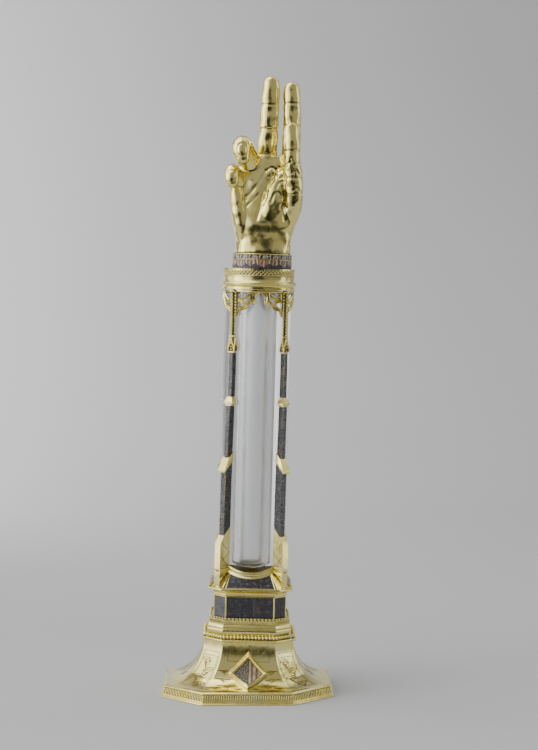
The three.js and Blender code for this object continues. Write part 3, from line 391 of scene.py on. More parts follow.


# Gilt metal: the group's finish, browner where the surface is hollow if asked, as a painted reflection of
# gold in gold, and painted shade with some dirt in the crevices that ambient occlusion finds within their reach
# in metres.
def giltMaterial(name, tint=None, tarnish=0.35, rubbing=0.6, bump=0.0012, cavity=False, rougher=0.0,
                 crevice=0.0018, creviceShare=0.8):
    material, tree, shader = newMaterial(name)
    work = tree.nodes.new("ShaderNodeGroup")
    work.node_tree = gildingGroup
    work.inputs["Tarnish"].default_value = tarnish
    work.inputs["Rubbing"].default_value = rubbing
    colour = work.outputs["Color"]
    if tint:
        colour = mixOf(tree, 1.0, colour, tint, "MULTIPLY")
    # Painted reflection: where the hand's surface is hollow, the colour turns towards an orange gold, as gold
    # reflected in gold.
    if cavity:
        hollow = tree.nodes.new("ShaderNodeAttribute")
        hollow.attribute_name = "cavity"
        share = rangeOf(tree, hollow.outputs["Fac"], 0.0, 1.0, 0.0, giltLook["hollowReflectionShare"])
        colour = mixOf(tree, share, colour, giltLook["hollow"])
    # Painted shade with some dirt: near other surfaces, as ambient occlusion finds them, the colour darkens
    # unevenly towards the crevice colour and dulls a little.
    shade = node(tree, "ShaderNodeAmbientOcclusion", Distance=crevice)
    shade.samples = 6
    where = tree.nodes.new("ShaderNodeTexCoord").outputs["Object"]
    uneven = rangeOf(tree, noiseOf(tree, where, giltLook["shadeAndDirtGrain"], 4), 0.38, 0.6, 0.3, 1.0)
    crevices = rangeOf(tree, shade.outputs["AO"], 0.32, 0.80, creviceShare, 0.0)
    shadeAndDirt = mathOf(tree, "MULTIPLY", crevices, uneven)
    tree.links.new(mixOf(tree, shadeAndDirt, colour, giltLook["shadeAndDirt"]), shader.inputs["Base Color"])
    rough = mathOf(tree, "ADD", work.outputs["Roughness"], rougher)
    dull = mathOf(tree, "MULTIPLY", shadeAndDirt, 0.25)
    tree.links.new(mathOf(tree, "ADD", rough, dull), shader.inputs["Roughness"])
    shader.inputs["Metallic"].default_value = 1.0
    bumped(tree, shader, work.outputs["Height"], 0.6, bump)
    return material


enamelLook = {     # grains in noise cells to the metre
    "worn": (0.34, 0.31, 0.27), "cloudLow": 0.72, "cloudHigh": 1.35, "roughLow": 0.22, "roughHigh": 0.5,
    "cloudGrain": 160, "pitGrain": 750, "glossGrain": 300, "reliefGrain": 350, "coat": 0.25,
}


# Enamel as a group: clouded glass colour over the pigment, small pits and worn pale specks.
def enamelGroup():
    look = enamelLook
    group, inward, outward, where = finishGroup("firedEnamel", (
        ("Pigment", "NodeSocketColor", (0.1, 0.1, 0.1, 1.0)), ("Wear", "NodeSocketFloat", 0.4)))
    cloudNoise = noiseOf(group, where, look["cloudGrain"], 5)
    cloudy = group.nodes.new("ShaderNodeVectorMath")
    cloudy.operation = "SCALE"
    group.links.new(inward.outputs["Pigment"], cloudy.inputs[0])
    clouds = rangeOf(group, cloudNoise, 0.3, 0.7, look["cloudLow"], look["cloudHigh"])
    group.links.new(clouds, cloudy.inputs["Scale"])
    pits = rangeOf(group, noiseOf(group, where, look["pitGrain"], 3, 0.6), 0.50, 0.62)
    worn = mathOf(group, "MULTIPLY", pits, inward.outputs["Wear"])
    group.links.new(mixOf(group, worn, cloudy.outputs[0], look["worn"]), outward.inputs["Color"])
    gloss = noiseOf(group, where, look["glossGrain"], 5)
    rough = rangeOf(group, gloss, 0.3, 0.7, look["roughLow"], look["roughHigh"])
    group.links.new(rough, outward.inputs["Roughness"])
    relief = noiseOf(group, where, look["reliefGrain"], 3)
    group.links.new(mathOf(group, "SUBTRACT", relief, pits), outward.inputs["Height"])
    return group


firedGroup = enamelGroup()


# Fired enamel in the pigments that the piece carries at its points.
def enamelMaterial(name, wear=0.4):
    material, tree, shader = newMaterial(name)
    pigment = tree.nodes.new("ShaderNodeAttribute")
    pigment.attribute_name = "pigment"
    fired = tree.nodes.new("ShaderNodeGroup")
    fired.node_tree = firedGroup
    fired.inputs["Wear"].default_value = wear
    tree.links.new(pigment.outputs["Color"], fired.inputs["Pigment"])
    tree.links.new(fired.outputs["Color"], shader.inputs["Base Color"])
    tree.links.new(fired.outputs["Roughness"], shader.inputs["Roughness"])
    shader.inputs["Coat Weight"].default_value = enamelLook["coat"]
    bumped(tree, shader, fired.outputs["Height"], 0.5, 0.0002)
    return material


crystalLook = {"clear": (0.97, 0.975, 0.98), "smoky": (0.90, 0.91, 0.92), "ior": 1.55, "veilGrain": 22,
               "smokeGrain": 12, "veilRough": 0.035, "groundRough": 0.32}


# See-through quartz: plain transmission, a thin veil of roughness and a little smoke in its colour.
def crystalMaterial(name, rough):
    material, tree, shader = newMaterial(name)
    look = crystalLook
    where = tree.nodes.new("ShaderNodeTexCoord").outputs["Object"]
    veil = noiseOf(tree, where, look["veilGrain"], 6)
    tree.links.new(rangeOf(tree, veil, 0.5, 0.8, rough, rough + look["veilRough"]), shader.inputs["Roughness"])
    smoke = rangeOf(tree, noiseOf(tree, where, look["smokeGrain"], 4), 0.4, 0.8)
    tree.links.new(mixOf(tree, smoke, look["clear"], look["smoky"]), shader.inputs["Base Color"])
    shader.inputs["Transmission Weight"].default_value = 1.0
    shader.inputs["IOR"].default_value = look["ior"]
    return material


gilt = giltMaterial("gilt")
# Carved gilt and the hand's gilt paint shade further into their crevices; the hand's also takes a painted
# reflection in its hollows.
giltCarved = giltMaterial("giltCarved", tarnish=0.7, rubbing=0.45, bump=0.0009, crevice=0.003, creviceShare=1.0)
# Dark gilt for engraved lines and pins, and as painted shade where dark pieces stand in for shade on the piers.
darkGiltAndShade = giltMaterial("darkGiltAndShade", tint=(0.24, 0.19, 0.10), tarnish=0.9, rubbing=0.1, rougher=0.2)
giltHand = giltMaterial("giltHand", tarnish=0.45, rubbing=0.35, bump=0.0022, cavity=True, crevice=0.003)
enamelPlate = enamelMaterial("enamelPlate", 0.10)
enamelWorn = enamelMaterial("enamelWorn", 0.30)
enamelPier = enamelMaterial("enamelPier", 0.5)
rockCrystal = crystalMaterial("rockCrystal", 0.0)
groundCrystal = crystalMaterial("groundCrystal", crystalLook["groundRough"])

pigments = {key: np.array(value) for key, value in {     # in linear light
    "night": (0.012, 0.011, 0.018), "violet": (0.016, 0.014, 0.024), "slate": (0.070, 0.072, 0.085),
    "cream": (0.60, 0.50, 0.34), "rust": (0.16, 0.065, 0.038), "rose": (0.42, 0.26, 0.18),
    "orange": (0.40, 0.12, 0.04), "teal": (0.035, 0.06, 0.06), "green": (0.045, 0.075, 0.045),
    "pink": (0.17, 0.10, 0.11), "blue": (0.020, 0.021, 0.060), "ash": (0.24, 0.23, 0.22),
    "umber": (0.085, 0.065, 0.038), "straw": (0.42, 0.33, 0.19), "black": (0.008, 0.008, 0.010),
}.items()}


def plain(pigment, grid):
    return np.broadcast_to(pigments[pigment], (*grid.shape, 3)).copy()


# Lays a pigment over colours where a mask from 0 to 1 says so.
def painted(colours, mask, pigment):
    return colours + (pigments[pigment] - colours) * np.clip(mask, 0, 1)[..., None]


# Mask of a band: 1 between two values, fading over a soft width inside each edge.
def band(values, low, high, soft):
    return np.clip((values - low) / soft, 0, 1) * np.clip((high - values) / soft, 0, 1)


# Mask of small blossoms on a slanted net whose points are nudged by sines: 1 where the distance to the net
# point is under a radius that ripples five times round, softened at its edge.
def blossoms(u, v, pitch, radius, turn=0.0):
    a = (u + 0.5 * v) / pitch + turn
    b = (v - 0.35 * u) / pitch
    du = a - np.round(a) + 0.2 * np.sin(7.1 * np.round(a) + 3.3 * np.round(b))
    dv = b - np.round(b) + 0.2 * np.sin(5.3 * np.round(b) + 2.9 * np.round(a))
    distance = np.hypot(du, dv) * pitch
    petals = radius * (1 + 0.28 * np.cos(5 * np.arctan2(dv, du)))
    return np.clip((petals - distance) / 0.35 + 0.5, 0, 1)


print("materials ready")


footSizes = {
    "width": 175, "depth": 163, "cornerCut": 41.5, "neckHalf": 45, "neckFace": 26.5, "plinthInset": 7.5,
    "plinthFace": 43.9, "plinthTop": 12, "neckHeight": 55.4, "flare": 1.3, "levels": 26,
    "ribPitch": 2.3, "ribWidth": 1.0, "ribProud": 1.1,
}


# Plan of the concave side at an angle from 0 at the neck to 90 degrees at the plinth: a quarter ellipse.
def scoopPlan(angle):
    f = footSizes
    outwards = 1 - math.cos(angle)
    halfX = f["neckHalf"] + (f["width"] / 2 - f["plinthInset"] - f["neckHalf"]) * outwards
    halfY = f["neckHalf"] + (f["depth"] / 2 - f["plinthInset"] - f["neckHalf"]) * outwards
    face = f["neckFace"] + (f["plinthFace"] - f["neckFace"]) * (1 - max(math.cos(angle), 0) ** f["flare"])
    return halfX, halfY, halfX - face


# The scoop's eight corners at an angle: the height falls with the sine, and the lean fades with the cosine.
def scoopRing(angle):
    f = footSizes
    z = f["neckHeight"] - (f["neckHeight"] - f["plinthTop"]) * math.sin(angle)
    return lean(octagon(scoopPlan(angle), z), math.cos(angle))


# Points over one of the eight faces: across from -1 to 1, down in degrees, out from the metal.
# The face is ruled between its two corner lines, and out runs along the cross product of its directions.
def overFace(face, across, down, out=0.0):
    across, down = np.broadcast_arrays(np.asarray(across, float), np.asarray(down, float))
    shape = across.shape
    across, down = across.ravel(), down.ravel()

    def at(u, d):
        rings = np.stack([scoopRing(math.radians(min(max(x, 0.0), 90.0))) for x in d])
        first, second = rings[:, face], rings[:, (face + 1) % 8]
        return first + (second - first) * ((u + 1) / 2)[:, None]
    here = at(across, down)
    normal = np.cross(at(across + 0.02, down) - here, at(across, down - 0.5) - here)
    normal /= np.linalg.norm(normal, axis=1, keepdims=True)
    return (here + normal * out).reshape(*shape, 3), normal.reshape(*shape, 3)


# Engraved lines: flat dark ribbons let into the metal along polylines of (across, down).
def engraved(face, lines, width=0.7):
    parts = []
    section = [(-width / 2, -0.2), (width / 2, -0.2), (width / 2, 0.05), (-width / 2, 0.05)]
    for line in lines:
        line = np.asarray(line, float)
        points, normals = overFace(face, line[:, 0], line[:, 1])
        parts.append(strip(points, normals, section))
    return parts


# Points spread evenly on the line between two places.
def lineBetween(start, end, count=14):
    share = np.linspace(0, 1, count)[:, None]
    return np.asarray(start, float) + (np.asarray(end, float) - np.asarray(start, float)) * share


# Four lines of a rectangle of (across, down), the upright ones with a count of their own.
def outlined(left, right, top, bottom, count=14):
    return [lineBetween((left, top), (left, bottom), count), lineBetween((right, top), (right, bottom), count),
            lineBetween((left, top), (right, top)), lineBetween((left, bottom), (right, bottom))]


# A leaf as a closed pointed oval: two arcs between its stem end and its tip.
def leafOutline(start, tip, width, count=9):
    start, tip = np.asarray(start, float), np.asarray(tip, float)
    share = np.linspace(0, 1, count)[:, None]
    normal = np.array([-(tip - start)[1] / 40, (tip - start)[0] * 40]) * width
    bow = np.sin(np.pi * share) * normal
    middle = start + (tip - start) * share
    return [middle + bow, middle - bow, middle]


# A generic spray: a stem that waves as a sine, paired leaves, and a bloom whose radius ripples five times.
def spray(centre, bottom, top, reach, leaves=4):
    share = np.linspace(0, 1, 26)
    sway = reach * 0.25 * np.sin(share * 2 * np.pi * 1.2)
    stem = np.column_stack([centre + sway, bottom + (top - bottom) * share])
    lines = [stem]
    for i in range(leaves):
        at = 0.12 + 0.68 * i / leaves
        start = stem[int(at * 25)]
        side = 1 if i % 2 else -1
        for s in (side, -side * 0.7):
            tip = start + np.array([s * reach * (0.75 - 0.08 * i), (top - bottom) * 0.16])
            lines += leafOutline(start, tip, 0.22 * reach)
    angle = np.linspace(0, 2 * np.pi, 25)
    petal = 1 + 0.3 * np.cos(5 * angle)
    for wide, tall, ripple in ((0.42, 5.2, petal), (0.12, 1.6, 1.0)):
        lines.append(np.column_stack([stem[-1, 0] + reach * wide * ripple * np.cos(angle),
                                      top - 2 + tall * ripple * np.sin(angle)]))
    return lines


# A scroll with two leaves: a spiral whose radius shrinks evenly with its angle.
def scroll(across, down, size, side):
    share = np.linspace(0, 1, 30)
    angle = side * (share * 3.4 * np.pi + 0.5 * np.pi)
    radius = size * (1 - 0.78 * share)
    spiral = np.column_stack([across + side * radius * np.cos(angle), down + 19 * radius * np.sin(angle)])
    leaf = leafOutline(spiral[4], (across + side * size * 1.5, down - 10 * size), 0.3 * size)
    return [spiral] + leaf + leafOutline(spiral[14], (across - side * size * 0.2, down + 26 * size), 0.3 * size)


# The foot: rings from the plinth's steps up the scoop to the top plate, and ribs along the plinth's slope.
def makeFoot():
    f = footSizes
    base = (f["width"] / 2, f["depth"] / 2, f["cornerCut"])
    plinth = [(0, 0), (0, 1.1), (-0.5, 1.5), (-2.6, 1.6), (-2.6, 2.6), (-2.9, 3.0), (-4.2, 9.2), (-4.2, 9.6),
              (-3.5, 9.9), (-3.3, 10.5), (-3.5, 11.2), (-4.4, 11.5), (-4.6, 12.0)]
    rings = [octagon(grown(base, inset), z) for inset, z in plinth]
    rings += [scoopRing(math.radians(angle)) for angle in np.linspace(90, 0, f["levels"])]
    plate = evenPlan(f["neckHalf"], f["neckFace"])
    for growth, z in ((1.6, 55.7), (2.3, 56.2), (2.5, 56.9), (2.5, 57.5), (2.1, 58.0)):
        rings.append(lean(octagon(grown(plate, growth), z)))
    rib = brick((-f["ribWidth"] / 2, -0.6, -3.0), (f["ribWidth"] / 2, f["ribProud"], 2.9))
    centres, axes = alongPlan(grown(base, -3.55), f["ribPitch"], 6.1)
    slope = math.atan2(1.3, 6.2)
    tilted = axes.copy()
    tilted[:, 2] = axes[:, 2] * math.cos(slope) - axes[:, 1] * math.sin(slope)
    tilted[:, 1] = axes[:, 1] * math.cos(slope) + axes[:, 2] * math.sin(slope)
    parts = [loft(np.stack(rings)), copies(rib, centres, tilted)]
    newPiece("footMetal", parts, gilt, ["foot"], bevel=0.3)


# Engraving: framed scrolls on the corner faces, scrolls beside the lozenge under short frames in front and
# at the back, and a spray between two upright lines at the sides.
def makeFootEngraving():
    lines = []
    for face in (1, 3, 5, 7):
        lines += engraved(face, outlined(-0.80, 0.80, 14, 78, 24) + outlined(-0.70, 0.70, 20, 74, 24), 0.6)
        for number, down in enumerate((29, 42, 55, 67)):
            side = 1 if number % 2 else -1
            lines += engraved(face, scroll(0.16 * side, down, 0.36, side), 0.6)
    scrolls = ((0.72, 40, 0.16), (0.66, 54, 0.2), (0.5, 68, 0.22), (0.8, 72, 0.16), (0.22, 76, 0.12))
    for face in (6, 2):
        for side in (-1, 1):
            for across, down, size in scrolls:
                lines += engraved(face, scroll(side * across, down, size, side), 0.4)
            lines += engraved(face, outlined(side * 0.16, side * 0.74, 15, 25), 0.45)
    for face in (0, 4):
        lines += engraved(face, spray(0.0, 76, 26, 0.4, 5), 0.5)
        lines += engraved(face, [lineBetween((s * 0.82, 16), (s * 0.82, 80), 24) for s in (-1, 1)], 0.5)
    newPiece("footEngraving", lines, darkGiltAndShade, sharp=60)


# A point over the front face: x in mm, down the scoop in degrees, and out from the metal.
def overFront(x, down, out):
    x, down, out = np.broadcast_arrays(np.asarray(x, float), np.asarray(down, float), np.asarray(out, float))
    angle = np.radians(down)
    f = footSizes
    fallHeight = f["neckHeight"] - f["plinthTop"]
    fallDepth = f["depth"] / 2 - f["plinthInset"] - f["neckHalf"]
    ny, nz = fallHeight * np.cos(angle), fallDepth * np.sin(angle)
    length = np.hypot(ny, nz)
    halfY = f["neckHalf"] + fallDepth * (1 - np.cos(angle))
    y = -(halfY + out * ny / length)
    z = f["neckHeight"] - fallHeight * np.sin(angle) + out * nz / length
    return lean(np.stack([x, y, z], -1), np.cos(angle))


lozengeSizes = {"middle": 43.5, "reach": 32, "halfWidth": 20.5, "steps": 18, "cells": 64, "enamelShare": 0.70}


# Colours of a lozenge from mm across and degrees down: blossoms on umber, stripes in the right half, and a
# dark edge.
def lozengeColours(xs, downs, edge):
    slope = downs * 0.7
    colours = plain("umber", xs)
    colours = painted(colours, 0.9 * blossoms(xs, slope, 3.3, 1.0), "teal")
    colours = painted(colours, 0.7 * blossoms(xs, slope, 3.3, 0.7, 0.5), "straw")
    colours = painted(colours, 0.7 * blossoms(xs + 1, slope, 4.4, 0.6, 0.2), "rose")
    stripes = (0.6, 3.0, "straw"), (3.0, 5.2, "rust"), (5.2, 7.6, "straw"), (7.6, 9.8, "rust"), (9.8, 15, "straw")
    for low, high, name in stripes:
        colours = painted(colours, band(xs, low, high, 0.2), name)
    colours = painted(colours, np.clip((0.5 - np.abs(xs - 0.4)) / 0.2, 0, 1), "black")
    return painted(colours, edge, "black").reshape(-1, 3)


# Lozenges: the frame's section of (share of the size, height) goes round four corners, and the enamel is a
# grid turned by 45 degrees; both lie on the scoop.
def makeLozenges():
    s = lozengeSizes
    section = [(1.0, 0.1), (1.01, 1.2), (0.985, 2.1), (0.95, 2.6), (0.92, 2.2), (0.90, 2.3), (0.87, 3.1),
               (0.83, 3.5), (0.79, 3.2), (0.765, 2.5), (0.75, 2.4), (0.73, 2.7), (0.70, 2.3), (0.68, 1.4),
               (0.68, 0.1)]
    share = np.linspace(0, 4, 4 * s["steps"], endpoint=False)
    corner = np.array([[1, 0], [0, 1], [-1, 0], [0, -1], [1, 0]], float)
    side = np.minimum(share.astype(int), 3)
    path = corner[side] + (corner[side + 1] - corner[side]) * (share - side)[:, None]
    sizes, outs = np.array(section).T
    x = path[:, None, 0] * sizes * s["halfWidth"]
    down = s["middle"] + path[:, None, 1] * sizes * s["reach"]
    front = loft(overFront(x, down, np.broadcast_to(outs, x.shape)), closeRows=True)
    along = np.linspace(-1, 1, s["cells"])
    p, q = np.meshgrid(along, along, indexing="ij")
    u, v = (p + q) / 2 * s["enamelShare"], (q - p) / 2 * s["enamelShare"]
    xs, downs = u * s["halfWidth"], s["middle"] + v * s["reach"]
    plate = flipped(slab(overFront(xs, downs, 1.5), overFront(xs, downs, 0.3)))
    edge = np.clip((np.maximum(np.abs(p), np.abs(q)) - 0.93) / 0.04, 0, 1)
    colours = [lozengeColours(xs, downs, edge)] * 2
    both = (("Front", lambda part: part), ("Back", mirroredBack))
    for place, change in both:
        newPiece(f"lozengeFrame{place}", [change(front)], giltCarved,
                 [f"lozenge_frame_{place.lower()}"], sharp=50)
    for place, change in both:
        newPiece(f"lozengeEnamel{place}", [change(plate)], enamelWorn,
                 [f"lozenge_enamel_{place.lower()}"], colours=colours)
    pin = copies(ball(1.0, 10, 6), overFront(np.array([0.6]), np.array([4.5]), 0.2), np.eye(3)[None])
    newPiece("footPin", [pin], darkGiltAndShade)


makeFoot()
makeFootEngraving()
makeLozenges()


neckSizes = {"half": 43.2, "face": 27.4, "beadRadius": 1.75, "beadPitch": 3.5, "beadOffset": 0.3, "wire": 0.55,
             "ribPitch": 1.65, "crestPitch": 3.7, "crestWidth": 2.1, "crestHeight": 2.3, "crestThickness": 1.0}


# Beads on a wire round the top plate, and the neck's steps with its ribbed band and cresting.
def makeNeck():
    s = neckSizes
    z = levels["neck"]
    beadLine = grown(evenPlan(footSizes["neckHalf"], footSizes["neckFace"]), s["beadOffset"])
    centres, axes = alongPlan(beadLine, s["beadPitch"], z + 2.1)
    beads = [copies(ball(s["beadRadius"], 12, 8), centres, axes)]
    corners = octagon(beadLine, z + 2.1)
    closed = np.concatenate([lineBetween(a, b, 9)[:-1] for a, b in zip(corners, np.roll(corners, -1, 0))])
    beads.append(strip(closed, [0, 0, 1], roundSection(s["wire"], 6), closed=True))
    newPiece("beads", leaned(beads), giltCarved, ["bead_row"])
    low = evenPlan(s["half"], s["face"])
    steps = [(-2.55, 0), (-2.55, 4.6), (-1.6, 5.0), (-0.9, 5.3), (-0.7, 6.2), (-0.9, 8.6), (-1.1, 9.2),
             (-1.9, 9.4), (-1.9, 10.1), (-1.35, 10.3), (-1.3, 11.1), (-1.7, 12.2), (-2.5, 13.2), (-2.9, 13.8),
             (-3.5, 14.0), (-3.5, 14.8), (-3.1, 14.9), (-3.1, 18.4)]
    body = [loft(np.stack([octagon(grown(low, step), z + up) for step, up in steps]))]
    centres, axes = alongPlan(grown(low, -3.1), s["ribPitch"], z + 16.6)
    body.append(copies(brick((-0.42, -0.6, -1.45), (0.42, 0.75, 1.45)), centres, axes))
    centres, axes = alongPlan(grown(low, -3.2), s["crestPitch"], z + 18.3)
    w, h, t = s["crestWidth"] / 2, s["crestHeight"], s["crestThickness"]
    points, faces = flipped(wedge([(0.1, -0.3), (0.1, h), (-t, h), (-t, -0.3)], w))
    body.append(copies((points[:, [1, 0, 2]], faces), centres, axes))
    newPiece("neckMetal", leaned(body), giltCarved, ["neck_moulding"], bevel=0.18)


drumSizes = {"half": 36.7, "face": 24.7, "height": 23.4, "cell": 0.45, "thickness": 1.0, "sunk": 0.45}


# Eight faces of the drum: outward angle, distance and width.
def drumFaces():
    s = drumSizes
    for i in range(8):
        straight = i % 2 == 0
        yield (-90 + 45 * i, s["half"] if straight else (s["half"] + s["face"]) / math.sqrt(2),
               2 * s["face"] if straight else (s["half"] - s["face"]) * math.sqrt(2))


# Colours of a drum plate from u across and v up, in mm: a dark ground, faint scrolls as bands round the
# wave v = a sin(u), spots, and on the front and back faces a lozenge shield with stripes a little right of
# the middle.
def drumColours(u, v, index):
    ground = "violet" if index != 7 else "slate"
    colours = plain(ground, u)
    colours = painted(colours, 0.55 * np.clip(0.6 - 0.1 * np.abs(v), 0, 1), "night")
    for offset in (-5.5, 5.5):
        away = np.abs(v - offset - 2.2 * np.sin(u * 0.75 + offset))
        colours = painted(colours, 0.5 * np.clip((0.7 - away) / 0.4, 0, 1), "slate")
    colours = painted(colours, 0.16 * blossoms(u, v, 7.9, 1.0), "ash")
    colours = painted(colours, 0.22 * blossoms(u, v * 1.3, 9.3, 0.9, 0.5), "pink")
    colours = painted(colours, 0.5 * blossoms(u + 3, v, 11.1, 1.2, 0.25), "green")
    if index in (0, 4):
        reach = np.abs(u - 0.3) / 10.6 + np.abs(v) / 10.0
        shield = np.clip((1 - reach) / 0.05, 0, 1)
        colours = painted(colours, shield * 0.75, "night")
        stripes = ((3.2, 4.2, "ash", 0.35), (4.6, 5.6, "rust", 0.5), (6.2, 7.2, "rust", 0.5),
                   (7.2, 10.2, "rust", 0.5))
        for low, high, name, strength in stripes:
            colours = painted(colours, shield * band(u, low, high, 0.25) * strength, name)
        colours = painted(colours, np.clip((0.06 - np.abs(1 - reach)) / 0.03, 0, 1) * 0.3, "slate")
    if index == 1:
        colours = painted(colours, 0.5 * np.clip(0.5 + np.sin(u * 3.1 + 0.2 * v), 0, 1), "black")
    edge = np.maximum(np.abs(u) / np.abs(u).max(), np.abs(v) / np.abs(v).max())
    return painted(colours, 0.8 * np.clip((edge - 0.94) / 0.04, 0, 1), "black")


# The drum: rings with a sunk field, a round strip up each corner, and eight enamel plates.
def makeDrum():
    s = drumSizes
    z, high = levels["drum"], s["height"]
    plan = evenPlan(s["half"], s["face"])
    outline = [(-0.1, 0), (0, 0.2), (0, 0.9), (-1.5, 1.0), (-1.5, high - 1.0), (0, high - 0.9), (0, high - 0.2),
               (-0.1, high)]
    body = [loft(np.stack([octagon(grown(plan, growth), z + up) for growth, up in outline]))]
    for corner in octagon(plan, z):
        outwards = corner * [1, 1, 0] / np.linalg.norm(corner[:2])
        path = np.stack([corner + [0, 0, 0.5], corner + [0, 0, high - 0.5]]) - outwards * 0.75
        body.append(strip(path, outwards, roundSection(0.85, 8)))
    newPiece("drumMetal", leaned(body), gilt, ["drum"], bevel=0.12)
    plates, colours = [], []
    for index, (angle, distance, width) in enumerate(drumFaces()):
        half, tall = width / 2 - 0.85, high / 2 - 1.0
        u = np.linspace(-half, half, max(4, int(2 * half / s["cell"])))
        v = np.linspace(-tall, tall, int(2 * tall / s["cell"]))
        rise, across = np.meshgrid(v, u, indexing="ij")
        outer = np.stack([np.full_like(across, distance - s["sunk"]), across, rise + (z + high / 2)], -1)
        part = slab(outer, outer - np.array([s["thickness"], 0, 0]))
        plates += around([part], [angle])
        colours += [drumColours(across, rise, index).reshape(-1, 3)] * 2
    names = [f"drum_enamel_{i}" for i in range(1, 9)]
    newPiece("drumEnamel", leaned(plates), enamelPlate, names, colours=colours)


corniceSizes = {"half": 42.6, "face": 29.4, "hollow": 4.0, "arcs": 9}


# The cornice: from the drum's plan a hollow runs out to the nose, its plan with one minus the cosine and its
# height with the sine.
def makeCornice():
    s = corniceSizes
    z = levels["cornice"]
    low, nose = np.array(evenPlan(drumSizes["half"], drumSizes["face"])), np.array(evenPlan(s["half"], s["face"]))
    rings = [octagon(grown(low, growth), z + up) for growth, up in ((0, 0), (0.4, 0.5), (0.4, 1.2), (0, 1.6))]
    for angle in np.radians(np.linspace(10, 90, s["arcs"])):
        plan = low + (nose - low) * (1 - math.cos(angle))
        rings.append(octagon(plan, z + 1.6 + s["hollow"] * math.sin(angle)))
    rings += [octagon(grown(nose, growth), z + up) for growth, up in ((0, 6.2), (0, 7.2), (-0.4, 7.8))]
    newPiece("corniceMetal", leaned([loft(np.stack(rings))]), gilt, ["cornice"], bevel=0.2)


makeNeck()
makeDrum()
makeCornice()


roofSizes = {
    "low": 41.9, "lowFace": 29.1, "inner": 34.75, "crest": 124.6, "crestRise": 4.1, "crestAt": 33.3,
    "mouldHeight": 6.9, "mouldRadius": 36.9, "enamelLow": 24.3, "enamelTop": 32.2, "rows": 40, "columns": 110,
}
roofFall = np.array([0.81, 0, 0.58])      # outward direction of the slope that faces +X


# Height of the round moulding's top edge by the angle from the nearest straight face: it rises with one
# minus the cosine towards the corners.
def crestHeight(angle):
    s = roofSizes
    away = np.remainder(angle + np.pi / 4, np.pi / 2) - np.pi / 4
    return s["crest"] + s["crestRise"] * (1 - np.cos(away)) / (1 - math.cos(math.radians(s["crestAt"])))


# Ruled surface from a point of the low edge (distance, side) to a point of the moulding's lower edge (angle).
def roofSurface(distance, side, angle, share, out=0.0):
    s = roofSizes
    low = np.stack([distance + 0 * angle, side + 0 * angle, levels["shoulder"] + 0.1 + 0 * angle], -1)
    high = np.stack([s["mouldRadius"] * np.cos(angle), s["mouldRadius"] * np.sin(angle),
                     crestHeight(angle) - s["mouldHeight"] + 0.3], -1)
    return low + (high - low) * share[..., None] + roofFall * out


# Four sloping plates, the ruled surface a little thick, with blossoms on a dark ground.
def makeRoofEnamel():
    s = roofSizes
    share, u = np.meshgrid(np.linspace(0, 1, s["rows"]), np.linspace(-1, 1, s["columns"]), indexing="ij")
    angle = u * math.radians(s["enamelTop"])
    outer, inner = [roofSurface(s["low"] - 0.25, u * s["enamelLow"], angle, share, out) for out in (0.0, -0.9)]
    side, slope = outer[..., 1], (outer[..., 2] - 108) * 1.25
    colours = plain("night", side)
    colours = painted(colours, 0.5 * blossoms(side, slope, 7.1, 1.35), "pink")
    colours = painted(colours, 0.6 * blossoms(side + 2, slope, 7.9, 1.3, 0.5), "green")
    colours = painted(colours, 0.3 * blossoms(side, slope * 1.7 + 3, 8.3, 1.1, 0.3), "ash")
    names = [f"shoulder_enamel_{i}" for i in range(1, 5)]
    newPiece("roofEnamel", leaned(around([slab(outer, inner)], quarters)), enamelPlate, names,
             colours=[colours.reshape(-1, 3)] * 8)


# The roof's metal with its round moulding: rings closed on themselves, the lowest where rays from the axis
# meet the nearest of the octagon's sides.
def makeRoofMetal():
    s = roofSizes
    turn, eighths = np.linspace(0, 2 * np.pi, 192, endpoint=False), np.arange(8) * np.pi / 4
    reach = np.array([s["low"], (s["low"] + s["lowFace"]) / math.sqrt(2)] * 4)
    facing = np.stack([np.cos(turn), np.sin(turn)], -1) @ np.stack([np.cos(eighths), np.sin(eighths)])
    edge = np.min(np.where(facing > 1e-6, reach / np.maximum(facing, 1e-6), 1e9), axis=1)

    def ring(radius, z):
        return np.stack([radius * np.cos(turn), radius * np.sin(turn), z + 0 * turn], -1)
    base, r, h = levels["shoulder"], s["mouldRadius"], s["mouldHeight"]
    profile = [(r - 0.9, h + 0.4), (r + 0.3, h + 0.1), (r + 0.75, h - 0.6), (r + 0.5, h - 1.3), (r - 0.5, h - 1.8),
               (r - 1.1, h - 2.8), (r - 1.1, h - 4.2), (r - 0.7, h - 4.9), (r - 0.1, h - 5.3), (r - 0.1, h - 6.2),
               (r - 0.7, h - 6.9), (s["inner"], h - 6.9)]
    rings = [ring(s["inner"], base), ring(edge, base), ring(edge, base + 0.15), ring(edge - 0.9, base + 0.2)]
    rings += [ring(radius, crestHeight(turn) - drop) for radius, drop in profile]
    newPiece("roofMetal", leaned([loft(np.stack(rings), closeRows=True)]), gilt, ["shoulder"], sharp=45)


# Round wires beside the plates, up the hips and along the low edge.
def makeRoofTrim():
    s = roofSizes
    trim = []
    steps = np.linspace(0, 1, 8)
    for sign in (-1, 1):
        for along, angleAt, thick in ((0.55, 0.9, 0.6), (3.5, 2.9, 0.85)):
            side, angle = sign * (s["enamelLow"] + along), sign * math.radians(s["enamelTop"] + angleAt)
            path = roofSurface(s["low"] - 0.4, side, angle, steps, 0.15)
            trim.append(strip(path, roofFall, roundSection(thick, 8)))
    low = levels["shoulder"] + 0.35
    path = [(s["low"] - 0.35, sign * (s["enamelLow"] + 3.2), low) for sign in (-1, 1)]
    trim.append(strip(path, roofFall, roundSection(0.5, 6)))
    newPiece("roofTrim", leaned(around(trim, quarters)), gilt)


makeRoofEnamel()
makeRoofMetal()
makeRoofTrim()


crystalSizes = {"bottomRadius": 34.5, "topRadius": 34.0, "boreRadius": 12.6, "floor": 126.2, "dish": 6.5,
                "sides": 128, "bevel": 0.8}


